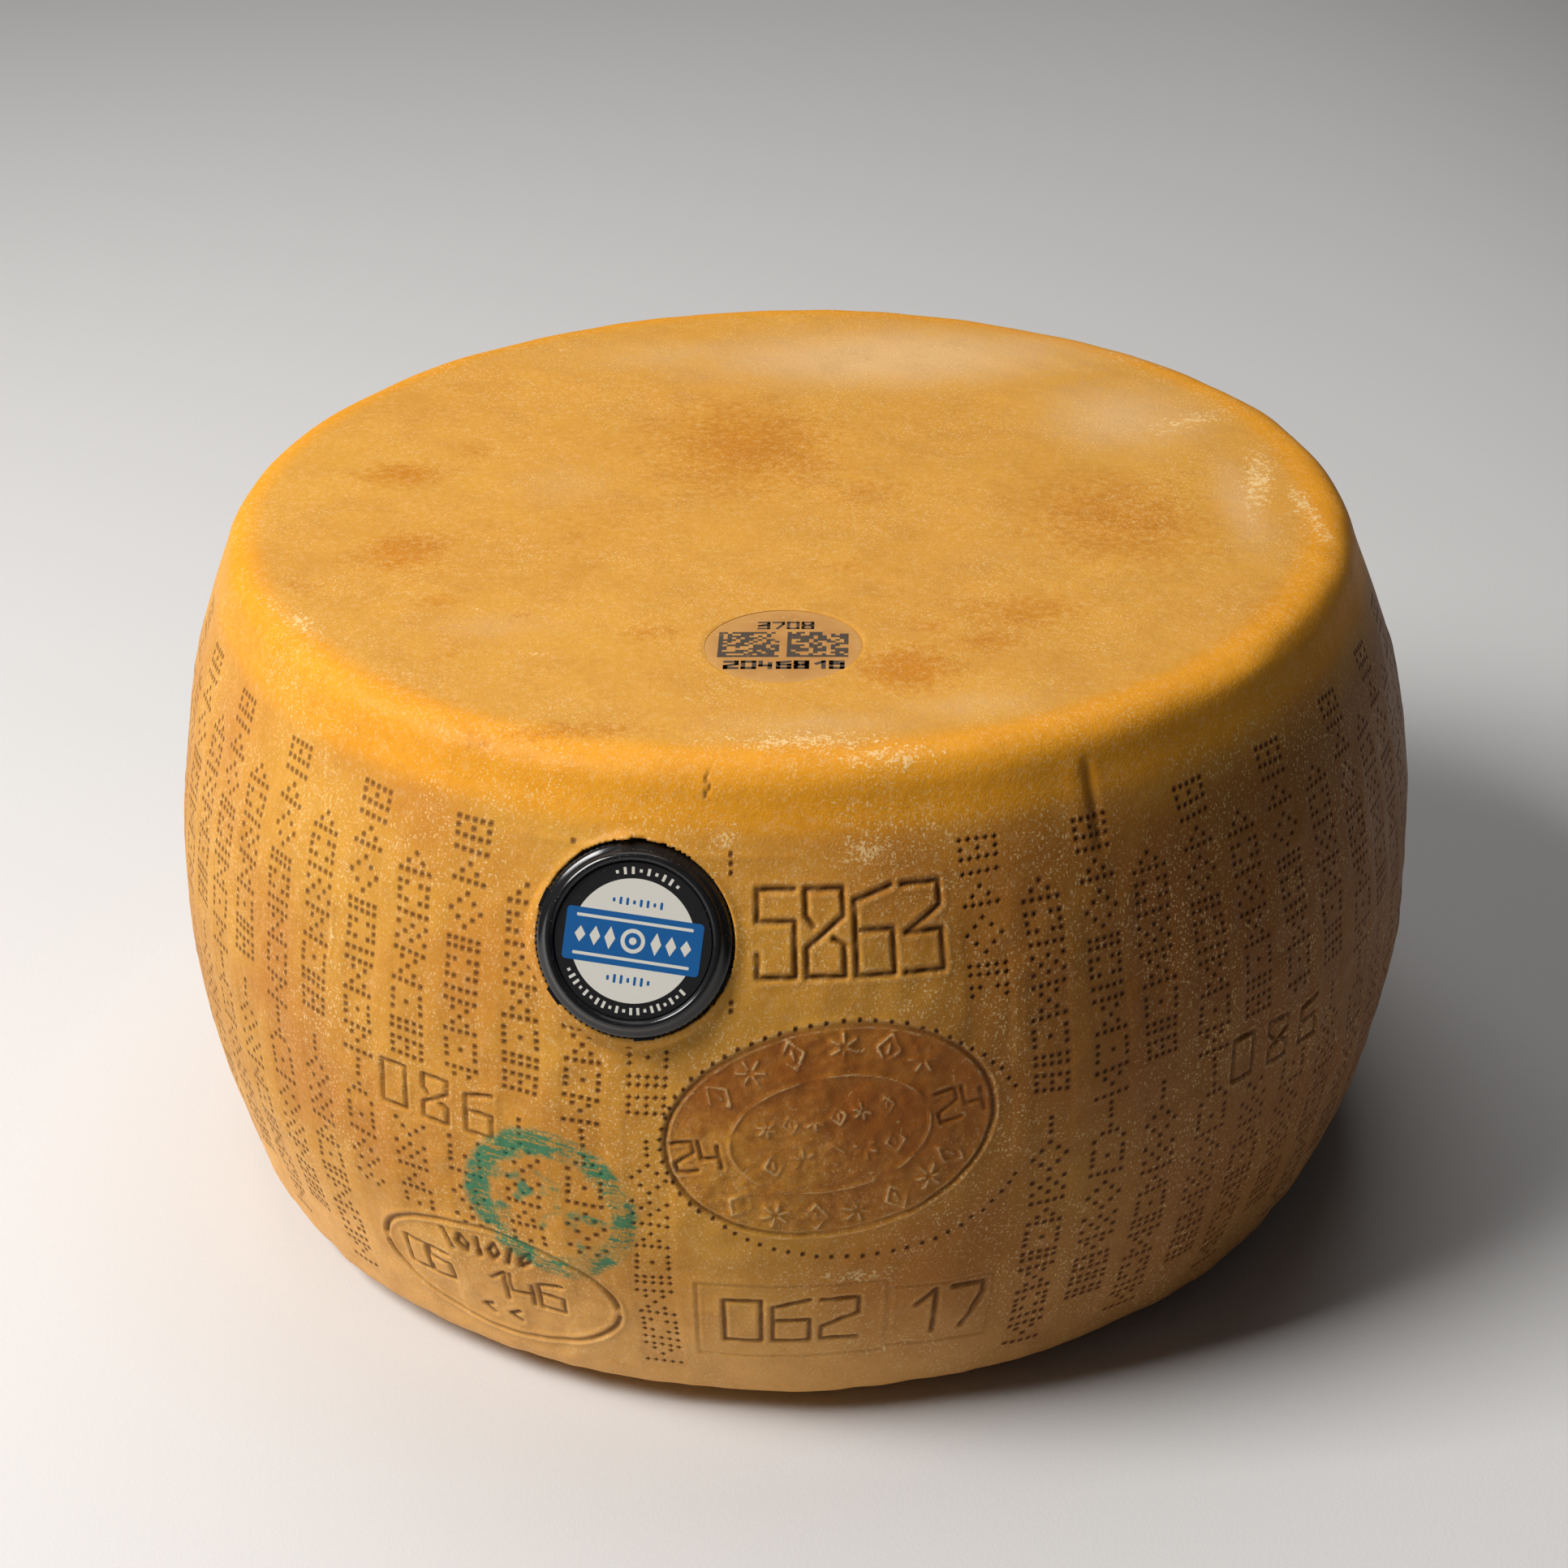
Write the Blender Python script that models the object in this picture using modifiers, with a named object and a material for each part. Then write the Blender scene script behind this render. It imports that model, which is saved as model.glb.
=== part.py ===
"""A whole wheel of aged hard cheese, with the marks pressed into its side,
its round cap badge and the casein plate let into its top.

Metres, +Z up. The origin is the middle of the flat base, and the marked
front faces -Y. A place on the side is given by its reach, the distance round
the belly from the front in +X direction, and by its height above the base.
"""

import math

import bmesh
import bpy
from mathutils import Matrix, Vector

# Wheel, driving sizes
BELLY_RADIUS = 0.220
WHEEL_HEIGHT = 0.2336
BELLY_HEIGHT = 0.103
SHOULDER_RADIUS = 0.1936
TOP_FLAT_RADIUS = 0.1828
LOWER_EDGE_RADIUS = 0.2026
BASE_FLAT_RADIUS = 0.1434
RIM_ROLL = 0.0101
BASE_ROLL = 0.0090
UPPER_POWER = 2.125
LOWER_POWER = 2.0
SHOULDER_HEIGHT = WHEEL_HEIGHT - RIM_ROLL

# The wheel settles sideways while it ages, and is never quite round
SWAY_LINEAR = 0.0097
SWAY_CURVE = 0.0068
UNEVEN_WAVES = ((2, 0.0005, 0.4), (3, 0.0004, 2.1), (5, 0.0003, 4.0))

# Mesh steps
WHEEL_STEPS = 96
SIDE_ROWS = 7
ROLL_ROWS = 4
GROOVE_STEP = 0.012
GAP = 0.0003
OVERCUT = 0.010

# Marks pressed into the side: places as reach and height, sizes in metres
STROKE_RADIUS = 0.0010
FINE_STROKE_RADIUS = 0.0007
NUMBER = {"text": "5863", "place": (0.0155, 0.1871), "size": (0.0115, 0.0254), "pitch": 0.0151, "tilt": 0.0}
LEFT_TRIO = {"text": "086", "place": (-0.1183, 0.1172), "size": (0.0094, 0.0151), "pitch": 0.0163, "tilt": 0.0}
RIGHT_TRIO = {"text": "086", "place": (0.1668, 0.1148), "size": (0.0088, 0.0148), "pitch": 0.0166, "tilt": -2.0}
BOX_LEFT = -0.0329
BOX_STEP = 0.0275
BOX_RIGHT = 0.0620
BOX_TALL_HEIGHTS = (0.0316, 0.0650)
BOX_LOW_HEIGHTS = (0.0336, 0.0614)
BOX_FIRST = {"text": "062", "place": (-0.0029, 0.0488), "size": (0.0118, 0.0187), "pitch": 0.0155, "tilt": 0.0}
BOX_SECOND = {"text": "17", "place": (0.0465, 0.0489), "size": (0.0103, 0.0197), "pitch": 0.0146, "tilt": 0.0}
OVAL_PLACE = (0.0084, 0.1232)
OVAL_HALF = (0.0503, 0.0361)
INNER_OVAL_HALF = (0.0305, 0.0200)
OVAL_TILT = 11.0
OVAL_DIGITS_OUT = 0.0405
OVAL_DIGITS = {"text": "24", "size": (0.0064, 0.0102), "pitch": 0.0084, "tilt": OVAL_TILT}
LOW_OVAL_PLACE = (-0.1041, 0.0465)
LOW_OVAL_HALF = (0.0453, 0.0242)
LOW_OVAL_TILT = 0.0
LOW_OVAL_PAIR = {"text": "05", "size": (0.0088, 0.0126), "pitch": 0.0100, "tilt": LOW_OVAL_TILT}
LOW_OVAL_TRIPLE = {"text": "146", "size": (0.0088, 0.0126), "pitch": 0.0100, "tilt": LOW_OVAL_TILT}
LOW_OVAL_PAIR_AT = -0.0261
LOW_OVAL_TRIPLE_AT = 0.0112
FOLD_REACH = 0.1000
FOLD_HEIGHTS = (0.1990, 0.2200)
FOLD_RADIUS = 0.0034
FOLD_DEPTH = 0.0009

# Cap badge, driving sizes
BADGE_AZIMUTH = -13.25
BADGE_HEIGHT = 0.1838
BADGE_AXIS_AZIMUTH = -6.5
BADGE_AXIS_RISE = 24.5
BADGE_RADIUS = 0.0293
BADGE_DEPTH = 0.0096
BADGE_SUNK = 0.0046
RING_RADIUS = 0.0262
RING_WIDTH = 0.0028
LABEL_RADIUS = RING_RADIUS - RING_WIDTH - 0.0004
LABEL_THICKNESS = 0.0004
LABEL_DROP = 0.0012
BADGE_STEPS = 72
LUG_COUNT = 6
LUG_SIZE = (0.0060, 0.0016, 0.0030)
LUG_FIRST = 7.0
SEAT_RADIUS = BADGE_RADIUS + LUG_SIZE[1] + 2 * GAP

# Casein plate, driving sizes
PLATE_PLACE = (0.0002, -0.1141)
PLATE_HALF = (0.0245, 0.0248)
PLATE_THICKNESS = 0.0008
PLATE_DROP = 0.0002
PLATE_STEPS = 64

# Plain angular digits, drawn in a cell that runs from 0 to 1 both ways
DIGITS = {
    "0": [[(0, 0), (1, 0), (1, 1), (0, 1), (0, 0)]],
    "1": [[(0.3, 0.68), (0.9, 1), (0.9, 0)]],
    "2": [[(0, 1), (1, 1), (1, 0.62), (0, 0.32), (0, 0), (1, 0)]],
    "3": [[(0, 1), (1, 1), (1, 0.74), (0.05, 0.46), (1, 0.46), (1, 0), (0, 0)]],
    "4": [[(0, 1), (0, 0.38), (0.85, 0.38)], [(0.85, 0.75), (0.85, 0)]],
    "5": [[(1, 1), (0, 1), (0, 0.64), (1, 0.64), (1, 0), (0, 0), (0, 0.26)]],
    "6": [[(1, 1), (0, 0.86), (0, 0), (1, 0), (1, 0.52), (0.12, 0.52)]],
    "7": [[(0, 1), (1, 1), (1, 0.72), (0.4, 0)]],
    "8": [[(0.2, 0.58), (0, 0.7), (0, 1), (1, 1), (1, 0.7), (0, 0.34), (0, 0), (1, 0), (1, 0.36), (0.72, 0.44)]],
}


def clear_scene():
    for thing in list(bpy.data.objects):
        bpy.data.objects.remove(thing, do_unlink=True)


def new_collection(name):
    collection = bpy.data.collections.new(name)
    bpy.context.scene.collection.children.link(collection)
    return collection


def make_material(name, colour, roughness):
    material = bpy.data.materials.new(name)
    material.use_nodes = True
    shader = material.node_tree.nodes["Principled BSDF"]
    shader.inputs["Base Color"].default_value = (*colour, 1.0)
    shader.inputs["Roughness"].default_value = roughness
    shader.inputs["Metallic"].default_value = 0.0
    return material


def add_object(name, data, collection, material=None):
    thing = bpy.data.objects.new(name, data)
    collection.objects.link(thing)
    if material is not None:
        thing.data.materials.append(material)
    return thing


def freeze(thing):
    """Turn what the modifiers or the curve make into a plain welded mesh on an object of the same name."""
    bpy.context.view_layer.update()
    graph = bpy.context.evaluated_depsgraph_get()
    mesh = bpy.data.meshes.new_from_object(thing.evaluated_get(graph), depsgraph=graph)
    weld = bmesh.new()
    weld.from_mesh(mesh)
    bmesh.ops.remove_doubles(weld, verts=weld.verts, dist=0.00001)
    weld.to_mesh(mesh)
    weld.free()
    name = thing.name
    matrix = thing.matrix_world.copy()
    collection = thing.users_collection[0]
    bpy.data.objects.remove(thing, do_unlink=True)
    solid = bpy.data.objects.new(name, mesh)
    solid.matrix_world = matrix
    collection.objects.link(solid)
    return solid


def make_helper(thing):
    thing.hide_render = True
    thing.display_type = "WIRE"
    return thing


def turned_solid(name, profile, steps, collection, material=None):
    """A profile at +X, given from the top of the axis down its outer side, turned once round Z."""
    mesh = bpy.data.meshes.new(name)
    mesh.from_pydata([(r, 0.0, z) for r, z in profile], [(i, i + 1) for i in range(len(profile) - 1)], [])
    thing = add_object(name, mesh, collection, material)
    screw = thing.modifiers.new("Turn", "SCREW")
    screw.axis = "Z"
    screw.angle = math.tau
    screw.steps = steps
    screw.render_steps = steps
    screw.use_merge_vertices = True
    screw.merge_threshold = 0.00001
    return thing


def shade_round(thing, angle):
    thing.data.shade_smooth()
    thing.data.set_sharp_from_angle(angle=math.radians(angle))


def side_radius(height):
    """The radius of the barrel side, before the wheel settles."""
    if height < BELLY_HEIGHT:
        share = (BELLY_HEIGHT - height) / (BELLY_HEIGHT - BASE_ROLL)
        return BELLY_RADIUS - (BELLY_RADIUS - LOWER_EDGE_RADIUS) * share**LOWER_POWER
    share = (height - BELLY_HEIGHT) / (SHOULDER_HEIGHT - BELLY_HEIGHT)
    return BELLY_RADIUS - (BELLY_RADIUS - SHOULDER_RADIUS) * share**UPPER_POWER


def sway(height):
    share = height / WHEEL_HEIGHT
    return SWAY_LINEAR * share - SWAY_CURVE * share**2


def unevenness(azimuth, height):
    """How far the rind stands out from a true turned shape. It fades out at the flat base."""
    fade = min(1.0, height / (4 * BASE_ROLL))
    waves = sum(depth * math.sin(count * azimuth + phase) for count, depth, phase in UNEVEN_WAVES)
    return fade * waves


def settle(point):
    """Move a point of the true turned shape to where it lies on the settled wheel."""
    radius = math.hypot(point.x, point.y)
    azimuth = math.atan2(point.x, -point.y)
    out = unevenness(azimuth, point.z) * min(1.0, radius / TOP_FLAT_RADIUS) ** 4
    scale = 1.0 + out / max(radius, 0.001)
    return Vector((point.x * scale + sway(point.z), point.y * scale, point.z))


def side_point(reach, height, out=0.0):
    azimuth = reach / BELLY_RADIUS
    radius = side_radius(height) + out
    return settle(Vector((radius * math.sin(azimuth), -radius * math.cos(azimuth), height)))


def roll_points(inner, outer, level, drop, rows):
    """Quarter of an ellipse from the flat at the inner radius out and down to the outer radius."""
    points = []
    for row in range(rows + 1):
        turn = math.pi / 2 * row / rows
        points.append((inner + (outer - inner) * math.sin(turn), level - drop * (1 - math.cos(turn))))
    return points


def wheel_profile():
    top = roll_points(TOP_FLAT_RADIUS, SHOULDER_RADIUS, WHEEL_HEIGHT, RIM_ROLL, ROLL_ROWS)
    base = roll_points(BASE_FLAT_RADIUS, LOWER_EDGE_RADIUS, 0.0, -BASE_ROLL, ROLL_ROWS)
    side = []
    for row in range(1, SIDE_ROWS + 1):
        height = SHOULDER_HEIGHT + (BELLY_HEIGHT - SHOULDER_HEIGHT) * row / SIDE_ROWS
        side.append((side_radius(height), height))
    for row in range(1, SIDE_ROWS - 1):
        height = BELLY_HEIGHT + (BASE_ROLL - BELLY_HEIGHT) * row / (SIDE_ROWS - 1)
        side.append((side_radius(height), height))
    return [(0.0, WHEEL_HEIGHT)] + top + side + base[::-1] + [(0.0, 0.0)]


def build_wheel(collection, material):
    wheel = freeze(turned_solid("wheel", wheel_profile(), WHEEL_STEPS, collection, material))
    for vertex in wheel.data.vertices:
        vertex.co = settle(vertex.co)
    return wheel


def spread_points(points, longest):
    """The same path with no step longer than the given length."""
    path = [points[0]]
    for start, end in zip(points, points[1:]):
        steps = max(1, math.ceil(math.dist(start, end) / longest))
        for step in range(1, steps + 1):
            share = step / steps
            path.append((start[0] + (end[0] - start[0]) * share, start[1] + (end[1] - start[1]) * share))
    return path


def add_groove(name, path, radius, collection, closed=False, out=0.0):
    """A round bar along a path of reach and height on the rind, which cuts a groove half its depth."""
    curve = bpy.data.curves.new(name, "CURVE")
    curve.dimensions = "3D"
    curve.bevel_depth = radius
    curve.bevel_resolution = 1
    curve.use_fill_caps = True
    spline = curve.splines.new("POLY")
    spline.points.add(len(path) - 1)
    for point, (reach, height) in zip(spline.points, path):
        point.co = (*side_point(reach, height, out), 1.0)
    spline.use_cyclic_u = closed
    return make_helper(freeze(add_object(name, curve, collection)))


def turned(point, degrees):
    angle = math.radians(degrees)
    return (
        point[0] * math.cos(angle) - point[1] * math.sin(angle),
        point[0] * math.sin(angle) + point[1] * math.cos(angle),
    )


def add_digits(name, mark, place, radius, collection):
    """A row of plain digits, centred on its place and turned by its tilt."""
    width, tall = mark["size"]
    first = -mark["pitch"] * (len(mark["text"]) - 1) / 2
    for order, digit in enumerate(mark["text"]):
        for number, stroke in enumerate(DIGITS[digit]):
            flat = [(first + order * mark["pitch"] + (x - 0.5) * width, (y - 0.5) * tall) for x, y in stroke]
            tilted = [turned(point, mark["tilt"]) for point in spread_points(flat, GROOVE_STEP)]
            path = [(place[0] + x, place[1] + y) for x, y in tilted]
            closed = stroke[0] == stroke[-1]
            if closed:
                path = path[:-1]
            add_groove(f"{name}_{order}_{number}", path, radius, collection, closed)


def add_oval(name, place, half, tilt, radius, collection):
    around = math.pi * (half[0] + half[1])
    count = math.ceil(around / GROOVE_STEP * 1.3)
    path = []
    for step in range(count):
        angle = math.tau * step / count
        x, y = turned((half[0] * math.cos(angle), half[1] * math.sin(angle)), tilt)
        path.append((place[0] + x, place[1] + y))
    add_groove(name, path, radius, collection, closed=True)


def beside(place, distance, tilt):
    x, y = turned((distance, 0.0), tilt)
    return (place[0] + x, place[1] + y)


def add_marks(collection):
    """The number, the two rows of three, the dated box, the two ovals and the fold under the rim."""
    add_digits("number", NUMBER, NUMBER["place"], STROKE_RADIUS, collection)
    add_digits("left_trio", LEFT_TRIO, LEFT_TRIO["place"], FINE_STROKE_RADIUS, collection)
    add_digits("right_trio", RIGHT_TRIO, RIGHT_TRIO["place"], FINE_STROKE_RADIUS, collection)
    lower = [(BOX_LEFT, BOX_TALL_HEIGHTS[0]), (BOX_STEP, BOX_TALL_HEIGHTS[0])]
    lower += [(BOX_STEP, BOX_LOW_HEIGHTS[0]), (BOX_RIGHT, BOX_LOW_HEIGHTS[0])]
    upper = [(BOX_RIGHT, BOX_LOW_HEIGHTS[1]), (BOX_STEP, BOX_LOW_HEIGHTS[1])]
    upper += [(BOX_STEP, BOX_TALL_HEIGHTS[1]), (BOX_LEFT, BOX_TALL_HEIGHTS[1])]
    frame = lower + upper + lower[:1]
    add_groove("box", spread_points(frame, GROOVE_STEP)[:-1], FINE_STROKE_RADIUS, collection, closed=True)
    add_digits("box_first", BOX_FIRST, BOX_FIRST["place"], STROKE_RADIUS, collection)
    add_digits("box_second", BOX_SECOND, BOX_SECOND["place"], STROKE_RADIUS, collection)
    add_oval("oval", OVAL_PLACE, OVAL_HALF, OVAL_TILT, STROKE_RADIUS, collection)
    add_oval("inner_oval", OVAL_PLACE, INNER_OVAL_HALF, OVAL_TILT, FINE_STROKE_RADIUS, collection)
    for side in (-1, 1):
        place = beside(OVAL_PLACE, side * OVAL_DIGITS_OUT, OVAL_TILT)
        add_digits(f"oval_digits_{side}", OVAL_DIGITS, place, FINE_STROKE_RADIUS, collection)
    add_oval("low_oval", LOW_OVAL_PLACE, LOW_OVAL_HALF, LOW_OVAL_TILT, STROKE_RADIUS, collection)
    for name, mark, along in (("low_pair", LOW_OVAL_PAIR, LOW_OVAL_PAIR_AT), ("low_triple", LOW_OVAL_TRIPLE, LOW_OVAL_TRIPLE_AT)):
        place = beside(LOW_OVAL_PLACE, along, LOW_OVAL_TILT)
        add_digits(name, mark, place, FINE_STROKE_RADIUS, collection)
    fold = [(FOLD_REACH, FOLD_HEIGHTS[0]), (FOLD_REACH, FOLD_HEIGHTS[1])]
    add_groove("fold", fold, FOLD_RADIUS, collection, out=FOLD_RADIUS - FOLD_DEPTH)


def badge_matrix():
    """The badge's frame: Z along its axis out of the rind, Y up its face, origin at the middle of its back."""
    foot = side_point(math.radians(BADGE_AZIMUTH) * BELLY_RADIUS, BADGE_HEIGHT)
    turn = math.radians(BADGE_AXIS_AZIMUTH)
    rise = math.radians(BADGE_AXIS_RISE)
    axis = Vector((math.sin(turn) * math.cos(rise), -math.cos(turn) * math.cos(rise), math.sin(rise)))
    across = Vector((0.0, 0.0, 1.0)).cross(axis).normalized()
    up = axis.cross(across)
    frame = Matrix((across, up, axis)).transposed().to_4x4()
    frame.translation = foot - axis * BADGE_SUNK
    return frame


def badge_profile():
    """From the middle of the face outwards over the raised ring, down the skirt and back along the flat back."""
    ring_inner = RING_RADIUS - RING_WIDTH
    field = BADGE_DEPTH - LABEL_DROP - LABEL_THICKNESS
    return [
        (0.0, field),
        (ring_inner, field),
        (ring_inner + 0.0006, BADGE_DEPTH - 0.0004),
        (ring_inner + 0.0013, BADGE_DEPTH),
        (RING_RADIUS, BADGE_DEPTH - 0.0006),
        (RING_RADIUS + 0.0006, BADGE_DEPTH - 0.0020),
        (BADGE_RADIUS - 0.0008, BADGE_DEPTH - 0.0026),
        (BADGE_RADIUS, BADGE_DEPTH - 0.0036),
        (BADGE_RADIUS, 0.0008),
        (BADGE_RADIUS - 0.0008, 0.0),
        (0.0, 0.0),
    ]


def build_badge(collection, helpers, material):
    badge = turned_solid("cap_badge", badge_profile(), BADGE_STEPS, collection, material)
    badge.matrix_world = badge_matrix()
    for number in range(LUG_COUNT):
        bpy.ops.mesh.primitive_cube_add(size=1.0)
        lug = bpy.context.object
        lug.name = f"lug_{number}"
        for holder in list(lug.users_collection):
            holder.objects.unlink(lug)
        helpers.objects.link(lug)
        angle = math.radians(LUG_FIRST + 360 * number / LUG_COUNT)
        reach = BADGE_RADIUS
        place = Matrix.Translation((-reach * math.sin(angle), reach * math.cos(angle), BADGE_DEPTH - 0.0052))
        spin = Matrix.Rotation(angle, 4, "Z")
        size = Matrix.Diagonal((LUG_SIZE[0], 2 * LUG_SIZE[1], LUG_SIZE[2], 1.0))
        lug.matrix_world = badge_matrix() @ place @ spin @ size
        make_helper(lug)
    join = badge.modifiers.new("Lugs", "BOOLEAN")
    join.operation = "UNION"
    join.operand_type = "COLLECTION"
    join.collection = helpers
    join.solver = "EXACT"
    return badge


def add_disc(name, steps, half, thickness, matrix, collection, material=None):
    """A flat oval disc, standing on the matrix's origin."""
    disc = bmesh.new()
    bmesh.ops.create_cone(disc, cap_ends=True, segments=steps, radius1=1.0, radius2=1.0, depth=1.0)
    bmesh.ops.transform(disc, matrix=Matrix.Translation((0.0, 0.0, 0.5)), verts=disc.verts)
    bmesh.ops.transform(disc, matrix=Matrix.Diagonal((half[0], half[1], thickness, 1.0)), verts=disc.verts)
    mesh = bpy.data.meshes.new(name)
    disc.to_mesh(mesh)
    disc.free()
    thing = add_object(name, mesh, collection, material)
    thing.matrix_world = matrix
    return thing


def build_label(collection, material):
    lift = BADGE_DEPTH - LABEL_DROP - LABEL_THICKNESS + GAP
    matrix = badge_matrix() @ Matrix.Translation((0.0, 0.0, lift))
    half = (LABEL_RADIUS, LABEL_RADIUS)
    return add_disc("badge_label", BADGE_STEPS, half, LABEL_THICKNESS, matrix, collection, material)


def build_plate(collection, material):
    level = WHEEL_HEIGHT - PLATE_DROP - PLATE_THICKNESS
    matrix = Matrix.Translation((*PLATE_PLACE, level))
    return add_disc("casein_plate", PLATE_STEPS, PLATE_HALF, PLATE_THICKNESS, matrix, collection, material)


def add_seats(collection):
    """The round seat that the badge is pressed into, and the shallow bed of the casein plate."""
    seat = badge_matrix() @ Matrix.Translation((0.0, 0.0, -GAP))
    make_helper(add_disc("badge_seat", BADGE_STEPS, (SEAT_RADIUS, SEAT_RADIUS), 3 * BADGE_DEPTH, seat, collection))
    bed = Matrix.Translation((*PLATE_PLACE, WHEEL_HEIGHT - PLATE_DROP - PLATE_THICKNESS - GAP))
    half = (PLATE_HALF[0] + GAP, PLATE_HALF[1] + GAP)
    make_helper(add_disc("plate_bed", PLATE_STEPS, half, OVERCUT, bed, collection))


def cut(thing, cutters):
    boolean = thing.modifiers.new("Marks", "BOOLEAN")
    boolean.operation = "DIFFERENCE"
    boolean.operand_type = "COLLECTION"
    boolean.collection = cutters
    boolean.solver = "EXACT"


def main():
    clear_scene()
    cheese = new_collection("cheese_wheel")
    cutters = new_collection("cutters")
    lugs = new_collection("badge_lugs")
    rind = make_material("rind", (0.60, 0.33, 0.09), 0.55)
    black = make_material("black_plastic", (0.008, 0.008, 0.009), 0.22)
    print_film = make_material("print_film", (0.60, 0.56, 0.48), 0.35)
    casein = make_material("casein", (0.55, 0.28, 0.06), 0.45)
    wheel = build_wheel(cheese, rind)
    wheel.data.materials.append(rind)
    add_seats(cutters)
    add_marks(cutters)
    cut(wheel, cutters)
    badge = build_badge(cheese, lugs, black)
    label = build_label(cheese, print_film)
    plate = build_plate(cheese, casein)
    for thing, angle in ((wheel, 40), (badge, 35), (label, 35), (plate, 35)):
        shade_round(thing, angle)


main()
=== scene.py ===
"""Looks of a whole wheel of aged hard cheese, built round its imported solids.

Metres, +Z up, and the marked front faces -Y. A place on the side is given by its
reach, the distance round the belly from the front in +X direction, and by its
height above the base.
"""

import math

import bmesh
import bpy
import numpy as np
from mathutils import Matrix, Vector


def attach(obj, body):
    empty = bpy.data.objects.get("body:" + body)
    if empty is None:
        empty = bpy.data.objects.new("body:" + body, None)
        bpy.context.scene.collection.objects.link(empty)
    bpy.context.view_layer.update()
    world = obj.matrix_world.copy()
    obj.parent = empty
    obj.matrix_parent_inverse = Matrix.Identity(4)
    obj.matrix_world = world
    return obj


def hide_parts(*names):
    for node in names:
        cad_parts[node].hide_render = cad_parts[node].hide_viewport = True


bl_info = {
    "name": "Hard Cheese Wheel",
    "version": (1, 0, 0),
    "blender": (4, 5, 0),
    "location": "3D View > Sidebar > Cheese",
    "description": "Builds a whole wheel of aged hard cheese with its pressed marks, badge and casein plate",
    "category": "Add Mesh",
}

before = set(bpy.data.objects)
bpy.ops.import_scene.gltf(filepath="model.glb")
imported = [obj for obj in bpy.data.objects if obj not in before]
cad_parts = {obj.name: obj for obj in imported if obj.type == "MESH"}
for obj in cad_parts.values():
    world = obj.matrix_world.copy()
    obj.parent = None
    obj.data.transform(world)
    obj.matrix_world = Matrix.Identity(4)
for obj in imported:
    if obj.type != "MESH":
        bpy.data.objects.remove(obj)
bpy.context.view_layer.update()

# Wheel sizes, as in the solids
BELLY_RADIUS = 0.220
WHEEL_HEIGHT = 0.2336
BELLY_HEIGHT = 0.103
SHOULDER_RADIUS = 0.1936
TOP_FLAT_RADIUS = 0.1828
LOWER_EDGE_RADIUS = 0.2026
BASE_FLAT_RADIUS = 0.1434
RIM_ROLL = 0.0101
BASE_ROLL = 0.0090
UPPER_POWER = 2.125
LOWER_POWER = 2.0
SHOULDER_HEIGHT = WHEEL_HEIGHT - RIM_ROLL
SWAY_LINEAR = 0.0097
SWAY_CURVE = 0.0068
UNEVEN_WAVES = ((2, 0.0005, 0.4), (3, 0.0004, 2.1), (5, 0.0003, 4.0))
BELLY_ROUND = math.tau * BELLY_RADIUS
TOP_SEAM_RADIUS = 0.1560

# Rows of the rind's mesh, and where its two corners are softened
BASE_ROLL_ROWS = 11
FOOT_ROWS = 9
SHOULDER_ROWS = 12
RIM_ROLL_ROWS = 15
TOP_ROWS = 14
RIM_SOFT_HEIGHT = 0.2145
RIM_SOFT_RADIUS = TOP_FLAT_RADIUS - 0.006
FOOT_SOFT_HEIGHTS = (0.001, 0.0165)
SOFTENING_ROUNDS = 14


def digits(text, size, pitch, place=None, tilt=0.0):
    """A row of plain digits: the size of one, the pitch, the row's middle and its tilt in degrees."""
    return {"text": text, "size": size, "pitch": pitch, "place": place, "tilt": tilt}


# Marks pressed into the side, as in the solids
NUMBER = digits("5863", (0.0115, 0.0254), 0.0151, (0.0155, 0.1871))
LEFT_TRIO = digits("086", (0.0094, 0.0151), 0.0163, (-0.1183, 0.1172))
RIGHT_TRIO = digits("086", (0.0088, 0.0148), 0.0166, (0.1668, 0.1148), -2.0)
BOX_LEFT = -0.0329
BOX_STEP = 0.0275
BOX_RIGHT = 0.0620
BOX_TALL_HEIGHTS = (0.0316, 0.0650)
BOX_LOW_HEIGHTS = (0.0336, 0.0614)
BOX_FIRST = digits("062", (0.0118, 0.0187), 0.0155, (-0.0029, 0.0488))
BOX_SECOND = digits("17", (0.0103, 0.0197), 0.0146, (0.0465, 0.0489))
OVAL_PLACE = (0.0084, 0.1232)
OVAL_HALF = (0.0503, 0.0361)
INNER_OVAL_HALF = (0.0305, 0.0200)
OVAL_TILT = 11.0
OVAL_DIGITS_OUT = 0.0405
OVAL_DIGITS = digits("24", (0.0064, 0.0102), 0.0084, tilt=OVAL_TILT)
LOW_OVAL_PLACE = (-0.1041, 0.0465)
LOW_OVAL_HALF = (0.0453, 0.0242)
LOW_OVAL_PAIR = digits("05", (0.0088, 0.0126), 0.0100)
LOW_OVAL_TRIPLE = digits("146", (0.0088, 0.0126), 0.0100)
LOW_OVAL_PAIR_AT = -0.0261
LOW_OVAL_TRIPLE_AT = 0.0112
FOLD_REACH = 0.1000
DOTTED_OVAL_PLACE = (0.0158, 0.1180)
DOTTED_OVAL_HALF = (0.0539, 0.0413)
DOTTED_OVAL_TILT = -2.3
DOTTED_OVAL_COUNT = 72
DOTTED_OVAL_CLEAR = 0.0009
DOTTED_OVAL_GAP = (0.0655, 0.102, 0.132)

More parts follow.
